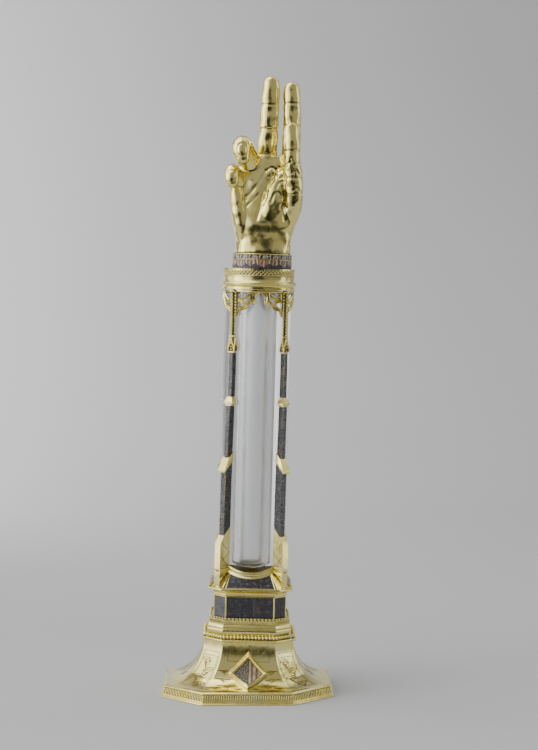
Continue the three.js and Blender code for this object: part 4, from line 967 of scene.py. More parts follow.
# Outside and bore as one closed skin turned round the axis; the bore's floor is a quarter ellipse, and its
# faces take the ground-glass material.
def makeCrystal():
    s = crystalSizes
    low, high = levels["shoulder"], levels["crystalTop"]
    outer = [(0.01, low), (s["bottomRadius"] - s["bevel"], low), (s["bottomRadius"], low + s["bevel"]),
             (s["topRadius"], high - s["bevel"]), (s["topRadius"] - s["bevel"], high),
             (s["boreRadius"] + 0.5, high)]
    r = s["boreRadius"]
    bore = [(r, high - 0.5)] + [(max(r * math.cos(a), 0.01), s["floor"] + s["dish"] * (1 - math.sin(a)))
                                for a in np.radians(np.linspace(0, 90, 20))]
    tube = newPiece("crystalTube", leaned([lathe(outer + bore, s["sides"])]), rockCrystal,
                    ["crystal"], sharp=25)
    tube.data.materials.append(groundCrystal)
    inside = np.zeros(len(tube.data.polygons), np.int32)
    inside[len(outer) * s["sides"]:(len(outer) + len(bore) - 1) * s["sides"]] = 1
    tube.data.polygons.foreach_set("material_index", inside)


makeCrystal()


pierSizes = {
    "inner": 34.8, "touch": 34.5, "baseReach": 48.4, "baseHalf": 3.9, "baseTop": 152.8, "shelf": 160.8,
    "string": 125.8, "lower": (43.8, 3.2), "middle": (41.2, 2.65), "upper": (39.6, 2.5), "cap": 224.8,
    "capReach": 47.1, "capHalf": 5.35, "capTop": 239.3, "capTopReach": 41.2, "capTopHalf": 4.5,
    "setOff": 292.3, "setOffReach": 42.2, "setOffHalf": 6.5, "gablet": 345.8, "crocketPitch": 3.1,
    "cell": 0.4, "edge": 0.17,
}


# Where a line that rises inwards by one for one, from a reach and height, meets the pier's inner side.
def rising(reach, height):
    return pierSizes["inner"], height + reach - pierSizes["inner"]


# One pier along +X, in gilt: the base stage with its string, cores under the enamel with thin edges, the
# drip cap as wedges that rise inwards, the set-off as rings, and the top.
def pierMetal():
    s = pierSizes
    inner, foot, base, baseHalf = s["inner"], levels["pierFoot"], s["baseReach"], s["baseHalf"]
    parts = [wedge([(inner, foot), (base, foot), (base, s["baseTop"]), (s["lower"][0], s["shelf"]),
                    rising(s["lower"][0], s["shelf"])], baseHalf)]
    for low, high, proud in ((0, 0.6, 0.4), (0.5, 1.5, 0.75)):
        parts.append(brick((base - 2, -baseHalf - proud, s["string"] + low),
                           (base + proud, baseHalf + proud, s["string"] + high)))
    cores = ((s["lower"], s["baseTop"], s["cap"] + 8), (s["middle"], s["cap"] + 5, s["setOff"] + 1),
             (s["upper"], s["setOff"] + 3, s["gablet"] + 1))
    for (reach, half), low, high in cores:
        parts.append(brick((inner, -half + 0.8, low), (reach - 0.8, half - 0.8, high)))
    edges = ((s["lower"], s["shelf"], s["cap"] + 4), (s["middle"], s["capTop"], s["setOff"]),
             (s["upper"], s["setOff"] + 8, s["gablet"]))
    for (reach, half), low, high in edges:
        for sign in (-1, 1):
            x, y = reach - 0.35, sign * (half - 0.35)
            parts.append(strip([(x, y, low), (x, y, high)], [1, 0, 0], roundSection(s["edge"], 6)))
    low, reach, half = s["cap"], s["capReach"], s["capHalf"]
    for drop, top, growth in ((0.0, 0.7, -0.35), (0.6, 1.7, 0.0)):
        far = reach + growth
        parts.append(wedge([(far, low + drop), (far, low + top), rising(far, low + top), rising(far, low + drop)],
                           half + growth))
    top = s["capTopReach"], s["capTop"]
    parts.append(wedge([(reach - 0.5, low + 1.4), top, rising(*top), rising(reach - 0.5, low + 1.4)],
                       [half - 0.5, s["capTopHalf"], s["capTopHalf"], half - 0.5]))
    low, (reach, half) = s["setOff"], s["middle"]
    for drop, top, growth in ((0, 0.9, 1.3), (0.9, 1.2, 0.7), (1.2, 2.0, 2.0)):
        parts.append(brick((inner, -half - growth, low + drop), (reach + growth * 0.25, half + growth, low + top)))
    reach, half = s["setOffReach"], s["setOffHalf"]
    top, topHalf = s["upper"][0] + 0.3, s["upper"][1]
    slope = ((reach - 0.4, half - 1.2, 1.9), (reach + 0.2, half, 2.3), (reach + 0.2, half, 3.1),
             (reach - 0.5, half - 0.9, 3.5), (top + 0.7, topHalf + 1.9, 6.3), (top + 0.4, topHalf + 0.9, 8.2),
             (top, topHalf + 0.4, 9.0))
    rings = [[(inner, -h, low + z), (r, -h, low + z), (r, h, low + z), (inner, h, low + z)] for r, h, z in slope]
    parts.append(loft(np.array(rings, float)))
    return parts + pierTop()


# Gablets with crockets on a moulded table, and the pinnacle: the outer half of a square shaft set
# cornerwise, with a small knob on each edge at every pitch.
def pierTop():
    s = pierSizes
    inner, low = s["inner"], s["gablet"]
    parts = [brick((inner, -3.4, low), (inner + 4.9, 3.4, low + 0.5)),
             brick((inner, -4.4, low + 0.6), (inner + 5.3, 4.4, low + 1.2)),
             brick((inner, -2.6, low + 1.6), (inner + 3.4, 2.6, low + 9))]
    knobs = []
    for w, x, y in ((3.9, inner + 4.3, None), (2.6, None, 3.9), (2.6, None, -3.9)):
        rise = np.array([(-w, low + 1.9), (-w * 0.9, low + 5.2), (-w * 0.45, low + 9.0), (0, low + 14.2)])
        for sign in (-1, 1):
            flat = throughStations(rise * [sign, 1], 12)
            if y is None:
                path, out = np.column_stack([np.full(12, x), flat[:, 0], flat[:, 1]]), [1, 0, 0]
            else:
                path = np.column_stack([inner + 2.4 + flat[:, 0], np.full(12, y), flat[:, 1]])
                out = [0, math.copysign(1, y), 0]
            parts.append(strip(path, out, roundSection(0.6, 6, 0, 0.8)))
            knobs += [tuple(path[i] + 0.35 * np.array(out) + [0, 0, 0.5]) for i in (3, 6, 9)]
        knobs += [(x, 0, low + 14.8), (x, 0, low + 16.2)] if y is None else [(inner + 2.4, y, low + 14.6)]
    back = inner + 1.3 + 0.3
    top = levels["arcadeTop"]
    z = np.arange(low + 3, top - 1, s["crocketPitch"])
    shaft = [[(back + r, 0, h), (back, r, h), (back, -r, h)]
             for r, h in ((2.3, low + 1.5), (2.3, low + 16), (2.1, top))]
    parts.append(loft(np.array(shaft, float)))
    for x, y in ((back + 2.9, 0), (back + 0.9, 2.9), (back + 0.9, -2.9)):
        knobs += [(x, y, h) for h in z + (0.0 if y == 0 else s["crocketPitch"] / 2) if h < top - 0.8]
    knobs = np.array(knobs, float)
    parts.append(copies(ball(1.3, 7, 4, 0.72), knobs, np.repeat(np.eye(3)[None], len(knobs), 0)))
    for h in (low + 16.2, top - 2.2):
        parts.append(brick((back, -2.9, h), (back + 3.1, 2.9, h + 0.9)))
    return parts


# Dark parts of a pier: painted shade in the fields behind the gablets and in the notch at the string, and
# engraved lines on the base's flanks.
def pierShadeAndLines():
    s = pierSizes
    inner, low = s["inner"], s["gablet"]
    # Painted shade: dark fields behind the gablets.
    parts = [brick((inner, -2.9, low + 1.7), (inner + 3.9, 2.9, low + 6.5)),
             brick((inner + 0.3, -3.45, low + 1.7), (inner + 3.9, 3.45, low + 6)),
             brick((inner, -1.4, low + 6), (inner + 3.8, 1.4, low + 10))]
    lines = [[(36, 130), (41, 133.5), (47, 141)], [(47, 134), (43, 138), (37, 142), (36, 146)],
             [(38, 147), (43, 150), (46, 155)], [(36, 114), (41, 117), (46, 123)], [(35.6, 127.9), (47.4, 127.9)]]
    section = [(-0.28, -0.2), (0.28, -0.2), (0.28, 0.06), (-0.28, 0.06)]
    for sign in (-1, 1):
        for line in lines:
            parts.append(strip([(x, sign * s["baseHalf"], z) for x, z in line], [0, sign, 0], section))
    # Painted shade: a dark block in the notch at the string.
    reach, string = s["baseReach"], s["string"]
    parts.append(brick((reach - 1, -1.2, string - 1.0), (reach + 0.5, 1.2, string + 0.2)))
    return parts


# Enamel of one stage: three slabs, on the end and on both flanks, cut along lines that rise inwards. The end
# is pale or dark where a product of waving sines of height and width is far from 0; the flanks are blossoms
# on near black.
def stageEnamel(reach, half, lowAt, highAt, seed):
    s = pierSizes
    edge = s["edge"] + 0.15
    upwards = np.linspace(0, 1, max(8, int((highAt(reach) - lowAt(reach)) / s["cell"])))
    across = np.linspace(-half + edge, half - edge, max(5, int((2 * half - 2 * edge) / s["cell"]) + 1))
    share, y = np.meshgrid(upwards, across, indexing="ij")
    z = lowAt(reach) + (highAt(reach) - lowAt(reach)) * share
    outer = np.stack([np.full_like(y, reach), y, z], -1)
    parts = [slab(outer, outer - np.array([0.9, 0, 0]))]
    wave = np.sin(z * 1.9 + 1.6 * np.sin(z * 0.7 + seed) + 1.3 * np.sin(y * 1.7 + z * 0.5))
    wave = wave * np.cos(y * 1.4 + 0.8 * np.sin(z * 1.3))
    end = painted(plain("violet", y), 0.9 * np.clip(wave * 4 - 0.6, 0, 1), "ash")
    end = painted(end, 0.9 * np.clip(-wave * 4 - 0.6, 0, 1), "black")
    end = painted(end, np.clip(0.3 * (1 + np.sin(z * 0.31 + seed)), 0, 0.45), "night")
    distance = np.linspace(reach - edge, s["touch"], max(5, int((reach - s["inner"]) / s["cell"])))
    share, x = np.meshgrid(upwards, distance, indexing="ij")
    z = lowAt(x) + (highAt(x) - lowAt(x)) * share
    flank = painted(plain("night", x), 0.35 * blossoms(x, z, 2.9, 0.65, seed), "slate")
    flank = painted(flank, 0.2 * blossoms(x + 0.5 * np.sin(z), z, 1.9, 0.45, seed + 0.4), "ash")
    for sign in (-1, 1):
        outer = np.stack([x, np.full_like(x, sign * half), z], -1)
        part = slab(outer, outer - np.array([0, sign * 0.9, 0]))
        parts.append(part if sign > 0 else flipped(part))
    return parts, [end.reshape(-1, 3)] * 2 + [flank.reshape(-1, 3)] * 4


# Four piers on the diagonals; the enamel's ends are level, or rise inwards by one for one.
def makePiers():
    s = pierSizes
    metal, shadeAndLines = pierMetal(), pierShadeAndLines()

    def place(parts, angle):
        return [moved(part, lambda p: lean(wrung(spin(p, angle)))) for part in parts]

    def slope(reach, height):
        return lambda distance: height + reach - distance

    def level(height):
        return lambda distance: height + 0 * distance
    stages = {
        "lower": (*s["lower"], slope(s["lower"][0], s["shelf"] + 0.4), slope(s["capReach"], s["cap"] - 0.4)),
        "middle": (*s["middle"], slope(s["capTopReach"], s["capTop"] + 0.4), level(s["setOff"] - 0.2)),
        "upper": (*s["upper"], level(s["setOff"] + 9.2), level(s["gablet"] - 0.2)),
    }
    for number, angle in enumerate((-45, 45, 135, 225), 1):
        newPiece(f"pierMetal{number}", place(metal, angle), gilt, [f"pier_{number}"], bevel=0.16)
        newPiece(f"pierShadeAndLines{number}", place(shadeAndLines, angle), darkGiltAndShade)
        parts, colours = [], []
        for stage, limits in stages.items():
            made, shades = stageEnamel(*limits, number * 1.7 + len(stage))
            parts += made
            colours += shades
        newPiece(f"pierEnamel{number}", place(parts, angle), enamelPier,
                 [f"pier_enamel_{number}_{stage}" for stage in stages], colours=colours)


makePiers()


arcadeSizes = {"radius": 35.6, "crown": 26.9, "height": 28.5, "frieze": 2.3}


# Points on the cylinder from arc length s and height h over the arcade's foot, with their outward directions.
def onArcade(s, h, bay, out=0.0):
    radius = arcadeSizes["radius"]
    angle = np.radians(bay) + np.asarray(s) / radius
    outward = np.stack([np.cos(angle), np.sin(angle), np.zeros_like(angle)], -1)
    points = outward * (radius + out)
    points[..., 2] = levels["arcade"] + np.asarray(h)
    return points, outward


# A lobe between two cusps: the chord bowed to one side by a sine.
def lobe(start, end, sag, count=10):
    start, end = np.asarray(start, float), np.asarray(end, float)
    share = np.linspace(0, 1, count)[:, None]
    chord = end - start
    normal = np.array([-chord[1], chord[0]]) / (np.linalg.norm(chord) + 1e-9)
    return start + chord * share + normal * sag * np.sin(np.pi * share)


# Tracery of four arches: in each half bay the arch's three lobes and six lines above, mirrored, with a knob
# on each cusp, under a turned frieze.
def makeArcade():
    s = arcadeSizes
    z, r, top = levels["arcade"], s["radius"], s["height"] - s["frieze"]
    halfBay = r * math.pi / 4
    edge = halfBay - 3.6
    foot, outer, inner = (halfBay - 3.4, 2.0), (12.8, 12.3), (5.2, 16.3)
    main = [lobe((0, s["crown"] + 0.2), inner, 3.6, 14), lobe(inner, outer, 3.3, 14), lobe(outer, foot, 3.0, 14)]
    tracery = [lobe((8.4, top), (edge, 18.0), -2.0, 14), lobe((8.8, top - 0.6), outer, -1.6, 14),
               lobe(outer, (edge, 9.4), -1.9, 14), lobe((edge, 2.0), (edge, top), 0.0, 4),
               lobe((edge - 0.6, 17.6), (14.6, 13.6), -1.2, 12), lobe((2.6, top - 0.6), (9.2, top - 0.3), 0.4)]
    wide = np.array([(-1.5, -0.7), (-1.5, 0.5), (-1.1, 0.95), (-0.6, 0.5), (0, -0.1), (0.6, 0.5), (1.1, 0.95),
                     (1.5, 0.5), (1.5, -0.7)][::-1])
    drawn = [(line, wide) for line in main] + [(line, wide * [0.85, 0.9]) for line in tracery]
    parts = []
    for bay in quarters:
        for sign in (-1, 1):
            for line, section in drawn:
                points, outward = onArcade(line[:, 0] * sign, line[:, 1], bay)
                parts.append(strip(points, outward, section))
            for across, height in (outer, inner):
                points, outward = onArcade([across * sign], [height - 0.5], bay, 0.1)
                parts.append(copies(ball(1.15, 8, 6), points, np.eye(3)[None]))
    frieze = [(-0.7, top), (0.6, top), (0.85, top + 0.4), (0.6, top + 0.9), (0.3, top + 1.1), (0.3, top + 1.6),
              (0.7, top + 1.8), (0.7, s["height"]), (-0.7, s["height"])]
    parts.append(lathe([(r + out, z + up) for out, up in frieze], 96, True))
    parts = [moved(part, wrung) for part in parts]
    newPiece("arcadeTracery", leaned(parts), giltCarved, ["arcade"], sharp=55)
    pins, outward = onArcade(np.zeros(4), np.full(4, top + 1.2), np.array(quarters), 0.3)
    pins = copies(ball(0.7, 8, 6), pins, np.repeat(np.eye(3)[None], 4, 0))
    newPiece("arcadePins", leaned([moved(pins, wrung)]), darkGiltAndShade)


collarSizes = {"inside": 34.3, "nose": 38.7, "noseHalf": 1.3, "hollow": 2.4, "top": 36.2}


# The collar, turned: its nose is half a circle, the radius less one minus the cosine and the height with the
# sine, and over it a quarter ellipse sweeps in.
def makeCollar():
    s = collarSizes
    z, top, lid = levels["collar"], levels["collarTop"], levels["crystalTop"] + 0.3
    nose = [(s["nose"] - s["noseHalf"] * (1 - math.cos(a)), z + 6.2 + s["noseHalf"] * math.sin(a))
            for a in np.radians(np.linspace(-80, 80, 11))]
    sweep = [(37.4 - 1.4 * math.sin(a), z + 7.8 + s["hollow"] * (1 - math.cos(a)))
             for a in np.radians(np.linspace(0, 90, 8))]
    profile = [(0.05, lid), (s["inside"], lid), (s["inside"], z), (36.5, z), (36.9, z + 0.4), (36.9, z + 2.3),
               (36.4, z + 2.7), (36.5, z + 3.6), (37.0, z + 4.5)] + nose + sweep
    profile += [(s["top"], z + 10.3), (s["top"], top - 0.3), (s["top"] - 0.3, top), (0.05, top)]
    newPiece("collarMetal", leaned([lathe(profile, 128)]), gilt, ["collar"], sharp=35)


gallerySizes = {"radius": 35.8, "height": 7.9, "lattice": 6.1, "columns": 56, "bar": 0.42, "merlons": 75}


# The fence: two turned rails, bars that climb both ways round one and a half columns, and upright teeth.
def makeGallery():
    s = gallerySizes
    z, r = levels["gallery"], s["radius"]
    parts = []
    for low, high, proud in ((0, 0.5, 0.6), (s["lattice"] - 0.2, s["lattice"] + 0.3, 0.35)):
        rail = [(r - 0.6, z + low), (r + proud, z + low), (r + proud, z + high), (r - 0.6, z + high)]
        parts.append(lathe(rail, 96, True))
    span = s["lattice"] - 0.5
    pitch = 2 * math.pi / s["columns"]
    share = np.linspace(0, 1, 7)
    bar = np.array([(-1, -0.75), (1, -0.75), (1, 0.1), (0.5, 0.3), (-0.5, 0.3), (-1, 0.1)]) * [s["bar"], 1]
    for direction in (-1, 1):
        for i in range(s["columns"]):
            angle = i * pitch + direction * share * 1.5 * pitch
            outward = np.stack([np.cos(angle), np.sin(angle), 0 * angle], -1)
            path = outward * r + np.array([0, 0, 1]) * (z + 0.4 + span * share)[:, None]
            parts.append(strip(path, outward, bar))
    angle = np.linspace(0, 2 * np.pi, s["merlons"], endpoint=False)
    x, y, flat = np.cos(angle), np.sin(angle), np.zeros_like(angle)
    centres = np.stack([r * x, r * y, flat + (z + s["lattice"])], -1)
    axes = np.stack([np.stack(axis, -1) for axis in ((-y, x, flat), (x, y, flat), (flat, flat, flat + 1))], 1)
    tooth = flipped(brick((-0.75, -0.4, 0.1), (0.75, 0.4, s["height"] - s["lattice"])))
    parts.append(copies(tooth, centres, axes))
    newPiece("galleryLattice", leaned(parts), giltCarved, ["gallery"], sharp=50)


cuffSizes = {
    "halfWidth": 30.4, "halfDepth": 25.0, "centreX": 2.6, "meanRadius": 27.5, "height": 23, "columns": 420,
    "rows": 58, "shieldPitch": 11.3, "bandAt": 17.3, "strokePitch": 3.3,
}


# Oval of the sleeve: half width times cosine, half depth times sine, both grown by a distance.
def ovalPoints(angle, growth, z):
    s = cuffSizes
    x = s["centreX"] + (s["halfWidth"] + growth) * np.cos(angle)
    return np.stack([x, (s["halfDepth"] + growth) * np.sin(angle), np.zeros_like(angle) + z], -1)


# Colours of the cuff from arc length u and height v: shields of vertical stripes over a parabola in the
# middle band, blue ground below, and a row of plain upright strokes that are no letters along the top.
def cuffColours(u, v):
    pitch = cuffSizes["shieldPitch"]
    colours = painted(plain("blue", u), 0.5 * blossoms(u, v, 2.6, 0.6), "ash")
    u, v = u + 0.35 * np.sin(v * 1.1 + 0.6 * u), v + 0.25 * np.sin(0.9 * u)
    place = (u / pitch - np.round(u / pitch)) * pitch
    number = np.round(u / pitch).astype(int)
    shieldTop = np.clip((17.0 - v) / 0.3, 0, 1)
    lowEdge = 9.6 + 0.11 * place ** 2 + (number % 2) * 1.1
    inside = shieldTop * np.clip((v - lowEdge) / 0.3, 0, 1) * (np.abs(place) < 5.2)
    stripe = np.floor((place + 5.2 + 0.3 * np.sin(number * 2.0)) / (1.5 + 0.3 * (number % 2))).astype(int) % 4
    for index, name in enumerate(("cream", "rust", "rose", "rust")):
        colours = painted(colours, inside * (stripe == index), name)
    fiery = inside * (np.abs(number) % 3 == 0) * (stripe % 2 == 1)
    colours = painted(colours, fiery * 0.45, "orange")
    colours = painted(colours, (1 - inside) * np.clip((v - 12.5) / 2, 0, 1) * 0.75, "violet")
    # Painted shade: the foot of the sleeve, behind the gallery, is black.
    colours = painted(colours, np.clip((9.5 - v) / 1.5, 0, 1), "black")
    colours = painted(colours, (v > cuffSizes["bandAt"]) * 1.0, "night")
    cycle = u / cuffSizes["strokePitch"]
    part = cycle - np.floor(cycle)
    kind = np.floor(cycle).astype(int) % 3
    stroke = np.abs(part - 0.32) < 0.15
    stroke |= (kind == 0) & (np.abs(part - 0.75) < 0.12)
    stroke |= (kind == 1) & (np.abs(v - 20.0) < 0.5) & (part < 0.8)
    tall = (v > 18.0) & (v < 22.0)
    return painted(colours, (stroke & tall) * 1.0, "cream")


# The sleeve's wall in rows, painted by arc length counted from the front, and three wires round it.
def makeCuff():
    s = cuffSizes
    z, mean = levels["cuff"], s["meanRadius"]
    angle = np.linspace(0, 2 * np.pi, s["columns"], endpoint=False)
    turn, rise = np.meshgrid(angle, np.linspace(0, s["height"], s["rows"]), indexing="xy")
    arc = (turn + np.pi / 2) * mean
    arc = (arc + np.pi * mean) % (2 * np.pi * mean) - np.pi * mean
    wall = loft(ovalPoints(turn, 0.0, z + rise))
    newPiece("cuffEnamel", leaned([wall]), enamelWorn, ["cuff"],
             colours=[cuffColours(arc, rise).reshape(-1, 3)])
    wires = [strip(ovalPoints(angle[::3], 0.1, z + height), [0, 0, 1], roundSection(radius, 6), closed=True)
             for height, radius in ((s["bandAt"], 0.3), (22.7, 0.5), (0.6, 0.5))]
    newPiece("cuffWires", leaned(wires), giltCarved)


makeArcade()
makeCollar()
makeGallery()
makeCuff()


handSizes = {
    "voxel": 0.95, "smoothing": 11, "fingerSides": 28, "ledge": 1.5, "waves": 18, "waveHeight": 0.065,
    "nailDepth": 0.45, "foldDepth": 0.3, "cavityRounds": 14,
}


# A finger or muscle: oval sections of (radius across, radius deep) along the curve, rounded at both ends,
# where the length grows with the sine of an angle and the radii shrink with its cosine.
def limb(stations, sides=28, count=44):
    line = throughStations(stations, count)
    turns = np.radians([18, 36, 52, 66, 78, 86])

    def cap(end, before, angles):
        direction = (end - before)[:3] / np.linalg.norm((end - before)[:3])
        return [np.concatenate([end[:3] + direction * end[4] * math.sin(t), end[3:] * math.cos(t)])
                for t in angles]
    line = np.concatenate([cap(line[0], line[1], turns[::-1]), line, cap(line[-1], line[-2], turns)])
    centre = line[:, :3]
    tangent = np.gradient(centre, axis=0)
    tangent /= np.linalg.norm(tangent, axis=1, keepdims=True)
    side = np.array([1.0, 0, 0]) - tangent * tangent[:, :1]
    side /= np.linalg.norm(side, axis=1, keepdims=True)
    front = np.cross(tangent, side)
    angle = np.linspace(0, 2 * np.pi, sides, endpoint=False)
    rings = centre[:, None] + side[:, None] * (line[:, 3, None] * np.cos(angle))[..., None]
    return loft(rings + front[:, None] * (line[:, 4, None] * np.sin(angle))[..., None])


handLimbs = {     # stations of (x, y, height, radius across, radius deep)
    "middle": [(2.6, 4, 82, 10.8, 10.4), (4.4, 4, 99, 10.7, 10.2), (5.2, 3.6, 116, 10.4, 9.8),
               (5.8, 3.4, 128.6, 10.1, 9.5), (6.1, 3.2, 141, 9.9, 9.3), (6.4, 3, 153.6, 9.6, 9.0),
               (6.7, 3, 165, 9.5, 8.7), (6.9, 3.2, 174, 8.9, 8.0)],
    "index": [(26, 4, 80, 10.4, 10.2), (28.4, 4, 98, 9.8, 9.8), (29, 3.6, 114, 9.5, 9.4),
              (29.2, 3.4, 130, 9.4, 9.2), (28.8, 3.2, 146, 9.2, 8.8), (28.4, 3, 158, 9.1, 8.6),
              (28.0, 3, 169, 8.5, 7.8)],
    "thumb": [(27, -2, 30, 8.5, 8.5), (32, -8, 46, 9.2, 10), (33, -12, 62, 9.4, 10), (31.5, -14.6, 80, 9.6, 9.6),
              (30, -16, 94, 8.8, 9), (29.4, -16.6, 108, 8.8, 8.6), (28.8, -16.4, 118, 8.6, 8),
              (28.6, -16, 127, 7.7, 6.8)],
    "ring": [(-10, 3, 82, 9.8, 9.4), (-12.6, -3, 94, 9.6, 9.2), (-17, -11, 104, 9.8, 9.4),
             (-21, -19.4, 109, 9.6, 9.4), (-21.8, -25.4, 104, 9.3, 9), (-20.4, -27, 96, 8.0, 7.6)],
    "little": [(-20, 1, 62, 8.6, 8.6), (-24, -5, 73, 8.2, 8.2), (-27.6, -12, 80.6, 7.8, 7.8),
               (-30.2, -18.6, 82, 7.4, 7.6), (-30.6, -23, 77, 7.2, 7.2), (-30, -23.6, 71, 6.6, 6.4)],
    "thumbBall": [(5, -7, 22, 9, 9), (8.5, -9.6, 36, 11.4, 9.6), (12, -10.6, 50, 11.6, 9.4),
                  (16, -9.6, 66, 10.4, 8.4), (21, -7, 80, 8, 7)],
    "heel": [(-15, -7, 8, 7, 9), (-19, -8.4, 26, 7.8, 9.6), (-22.6, -8.6, 44, 8, 9.4), (-25, -7.4, 58, 7.4, 8.4),
             (-25.6, -5, 66, 6, 7)],
}
palmLevels = [     # (height, middle x, middle y, half width, half depth)
    (0, 3.0, 0, 28.4, 22.6), (12, 3.3, 0, 28.0, 21.6), (22, 3.0, 0, 30.2, 20.8), (34, 3.4, 0.6, 33, 19.4),
    (46, 4.8, 1.6, 35.6, 17.6), (58, 5.0, 2.6, 36.9, 15.8), (72, 4.4, 3.4, 36.4, 14), (84, 5.4, 4, 34.2, 12.6),
    (94, 8.6, 4.4, 29.6, 11), (101, 13, 4.4, 23, 7.5),
]


# Wrist and flat of the hand: superellipse sections, cosine and sine to the power 0.8 with their signs kept.
def palm():
    z, cx, cy, w, d = throughStations(palmLevels, 60).T[..., None]
    angle = np.linspace(0, 2 * np.pi, 64, endpoint=False)
    across = np.sign(np.cos(angle)) * np.abs(np.cos(angle)) ** 0.8
    deep = np.sign(np.sin(angle)) * np.abs(np.sin(angle)) ** 0.8
    return loft(np.stack([cx + w * across, cy + d * deep, np.repeat(z, 64, 1)], -1))


# Creases of the palm side as lines of (x, height): (points, width, depth)
handCreases = [
    ([(-22, 50), (-12, 60), (-3, 72), (4, 84)], 1.6, 0.45),
    ([(-18, 44), (-8, 54), (0, 64), (5, 74)], 1.3, 0.4),
    ([(-4, 34), (-1, 46), (1, 58), (6, 70), (12, 80)], 1.5, 1.3),
    ([(4, 84), (10, 88), (16, 84), (21, 89)], 1.0, 1.1), ([(8, 78), (13, 82), (17, 76), (22, 80)], 0.9, 1.1),
    ([(9, 70), (13, 75), (12, 82), (17, 88)], 0.9, 0.9), ([(15, 66), (18, 72), (23, 74)], 1.0, 1.0),
    ([(3, 50), (6, 58), (5, 65), (9, 70)], 0.9, 0.9), ([(10, 52), (13, 60), (17, 62), (20, 56)], 1.2, 0.7),
    ([(24, 34), (22, 46), (23, 58), (21, 68)], 1.6, 1.2),
    ([(25, 90), (29, 93), (33, 89), (37, 92)], 1.1, 0.7), ([(26, 84), (30, 82), (34, 85), (37, 81)], 1.3, 0.6),
    ([(28, 96), (30, 88), (33, 82), (32, 74)], 1.0, 0.5), ([(27, 68), (31, 64), (35, 67), (39, 62)], 1.4, 0.6),
]
fingerCreases = [      # limb, height over the wrist, width, depth
    ("middle", 152, 0.9, 0.6), ("middle", 127.5, 1.1, 0.9), ("middle", 125.5, 0.8, 0.5),
    ("middle", 101.5, 1.2, 0.8),
    ("index", 154, 0.9, 0.6), ("index", 131, 1.1, 0.8), ("thumb", 104, 1.1, 0.8), ("thumb", 101.6, 0.8, 0.5),
    ("thumb", 77, 1.2, 0.7),
]
nails = [((-21, -34, 103.5), 4.8, 6.6), ((-30.4, -30, 77.5), 3.8, 5.0)]      # tip, half width, half height


# Uneven beating: a sum of sine waves in seeded directions, 8 to 20 mm long.
def hammered(points, count, height):
    dice = np.random.default_rng(7)
    directions = dice.normal(size=(count, 3))
    directions /= np.linalg.norm(directions, axis=1, keepdims=True)
    turns = 2 * np.pi / dice.uniform(8, 20, count)
    return height * np.sin(points @ (directions * turns[:, None]).T + dice.uniform(0, 6.3, count)).sum(1)


# Distance from points to a polyline, all in the same plane.
def lineDistance(points, line):
    best = np.full(len(points), 1e9)
    for a, b in zip(line[:-1], line[1:]):
        span = b - a
        t = np.clip(((points - a) @ span) / (span @ span), 0, 1)
        best = np.minimum(best, np.linalg.norm(points - (a + t[:, None] * span), axis=1))
    return best


# The hand: palm and limbs become one skin, whose points sink along their normals. A crease sinks by depth
# times exp(-(distance / width) squared), a nail by the same over an oval, and the ledge swells the palm side.
def makeHand():
    s = handSizes
    parts = [palm()] + [limb(stations, s["fingerSides"]) for stations in handLimbs.values()]
    rough = newPiece("handRough", parts, giltHand)
    remesh = rough.modifiers.new("oneSkin", "REMESH")
    remesh.mode = "VOXEL"
    remesh.voxel_size = s["voxel"] * metre
    smooth = rough.modifiers.new("soft", "SMOOTH")
    smooth.factor = 0.5
    smooth.iterations = s["smoothing"]
    bpy.context.view_layer.update()
    graph = bpy.context.evaluated_depsgraph_get()
    skin = bpy.data.meshes.new_from_object(rough.evaluated_get(graph))
    bpy.data.objects.remove(rough)
    points = np.empty(len(skin.vertices) * 3, np.float32)
    skin.vertices.foreach_get("co", points)
    normals = np.empty(len(skin.vertices) * 3, np.float32)
    skin.vertices.foreach_get("normal", normals)
    points, normals = points.reshape(-1, 3).astype(float) / metre, normals.reshape(-1, 3).astype(float)
    sink = np.zeros(len(points))
    palmSide = (normals[:, 1] < -0.2)
    flat = points[:, [0, 2]]
    for line, width, depth in handCreases:
        line = throughStations(np.array(line, float), 24)
        sink += depth * np.exp(-(lineDistance(flat, line) / width) ** 2) * palmSide * (points[:, 2] < 100)
    for name, height, width, depth in fingerCreases:
        stations = np.array(handLimbs[name])
        row = np.array([np.interp(height, stations[:, 2], stations[:, i]) for i in range(5)])
        near = (np.hypot(points[:, 0] - row[0], points[:, 1] - row[1]) < row[3] + 2.5)
        front = np.clip(0.55 - normals[:, 1], 0.25, 1)
        sink += depth * np.exp(-((points[:, 2] - height) / width) ** 2) * near * front
    for tip, across, tall in nails:
        near = (np.linalg.norm(points - np.array(tip), axis=1) < 15) & (normals[:, 1] < -0.15)
        oval = np.hypot((points[:, 0] - tip[0]) / across, (points[:, 2] - tip[2]) / tall)
        sink += s["nailDepth"] * np.exp(-((oval - 1) * across / 0.75) ** 2) * near
        for drop in (1.5, 2.0):
            fold = points[:, 2] - (tip[2] - drop * tall * 0.9) - 0.03 * (points[:, 0] - tip[0]) ** 2
            sink += s["foldDepth"] * np.exp(-(fold / 0.7) ** 2) * near
    ledge = np.clip((points[:, 2] - 21) / 8, 0, 1)
    ledge = ledge * ledge * (3 - 2 * ledge) * np.clip((104 - points[:, 2]) / 40, 0, 1)
    sink -= s["ledge"] * ledge * np.clip(-normals[:, 1] * 1.4 - 0.25, 0, 1)
    sink += hammered(points, s["waves"], s["waveHeight"])
    points -= normals * sink[:, None]
    faces = np.empty(len(skin.loops), np.int32)
    skin.loops.foreach_get("vertex_index", faces)
    faces = faces.reshape(-1, 4)
    bpy.data.meshes.remove(skin)
    hollow = cavityOf(points, faces, s["cavityRounds"])
    points[:, 2] = np.maximum(points[:, 2], 0.05) + levels["hand"]
    hand = newPiece("handMetal", [(lean(points), [faces])], giltHand, ["hand"], sharp=180)
    layer = hand.data.attributes.new("cavity", "FLOAT", "POINT")
    layer.data.foreach_set("value", hollow.astype(np.float32))


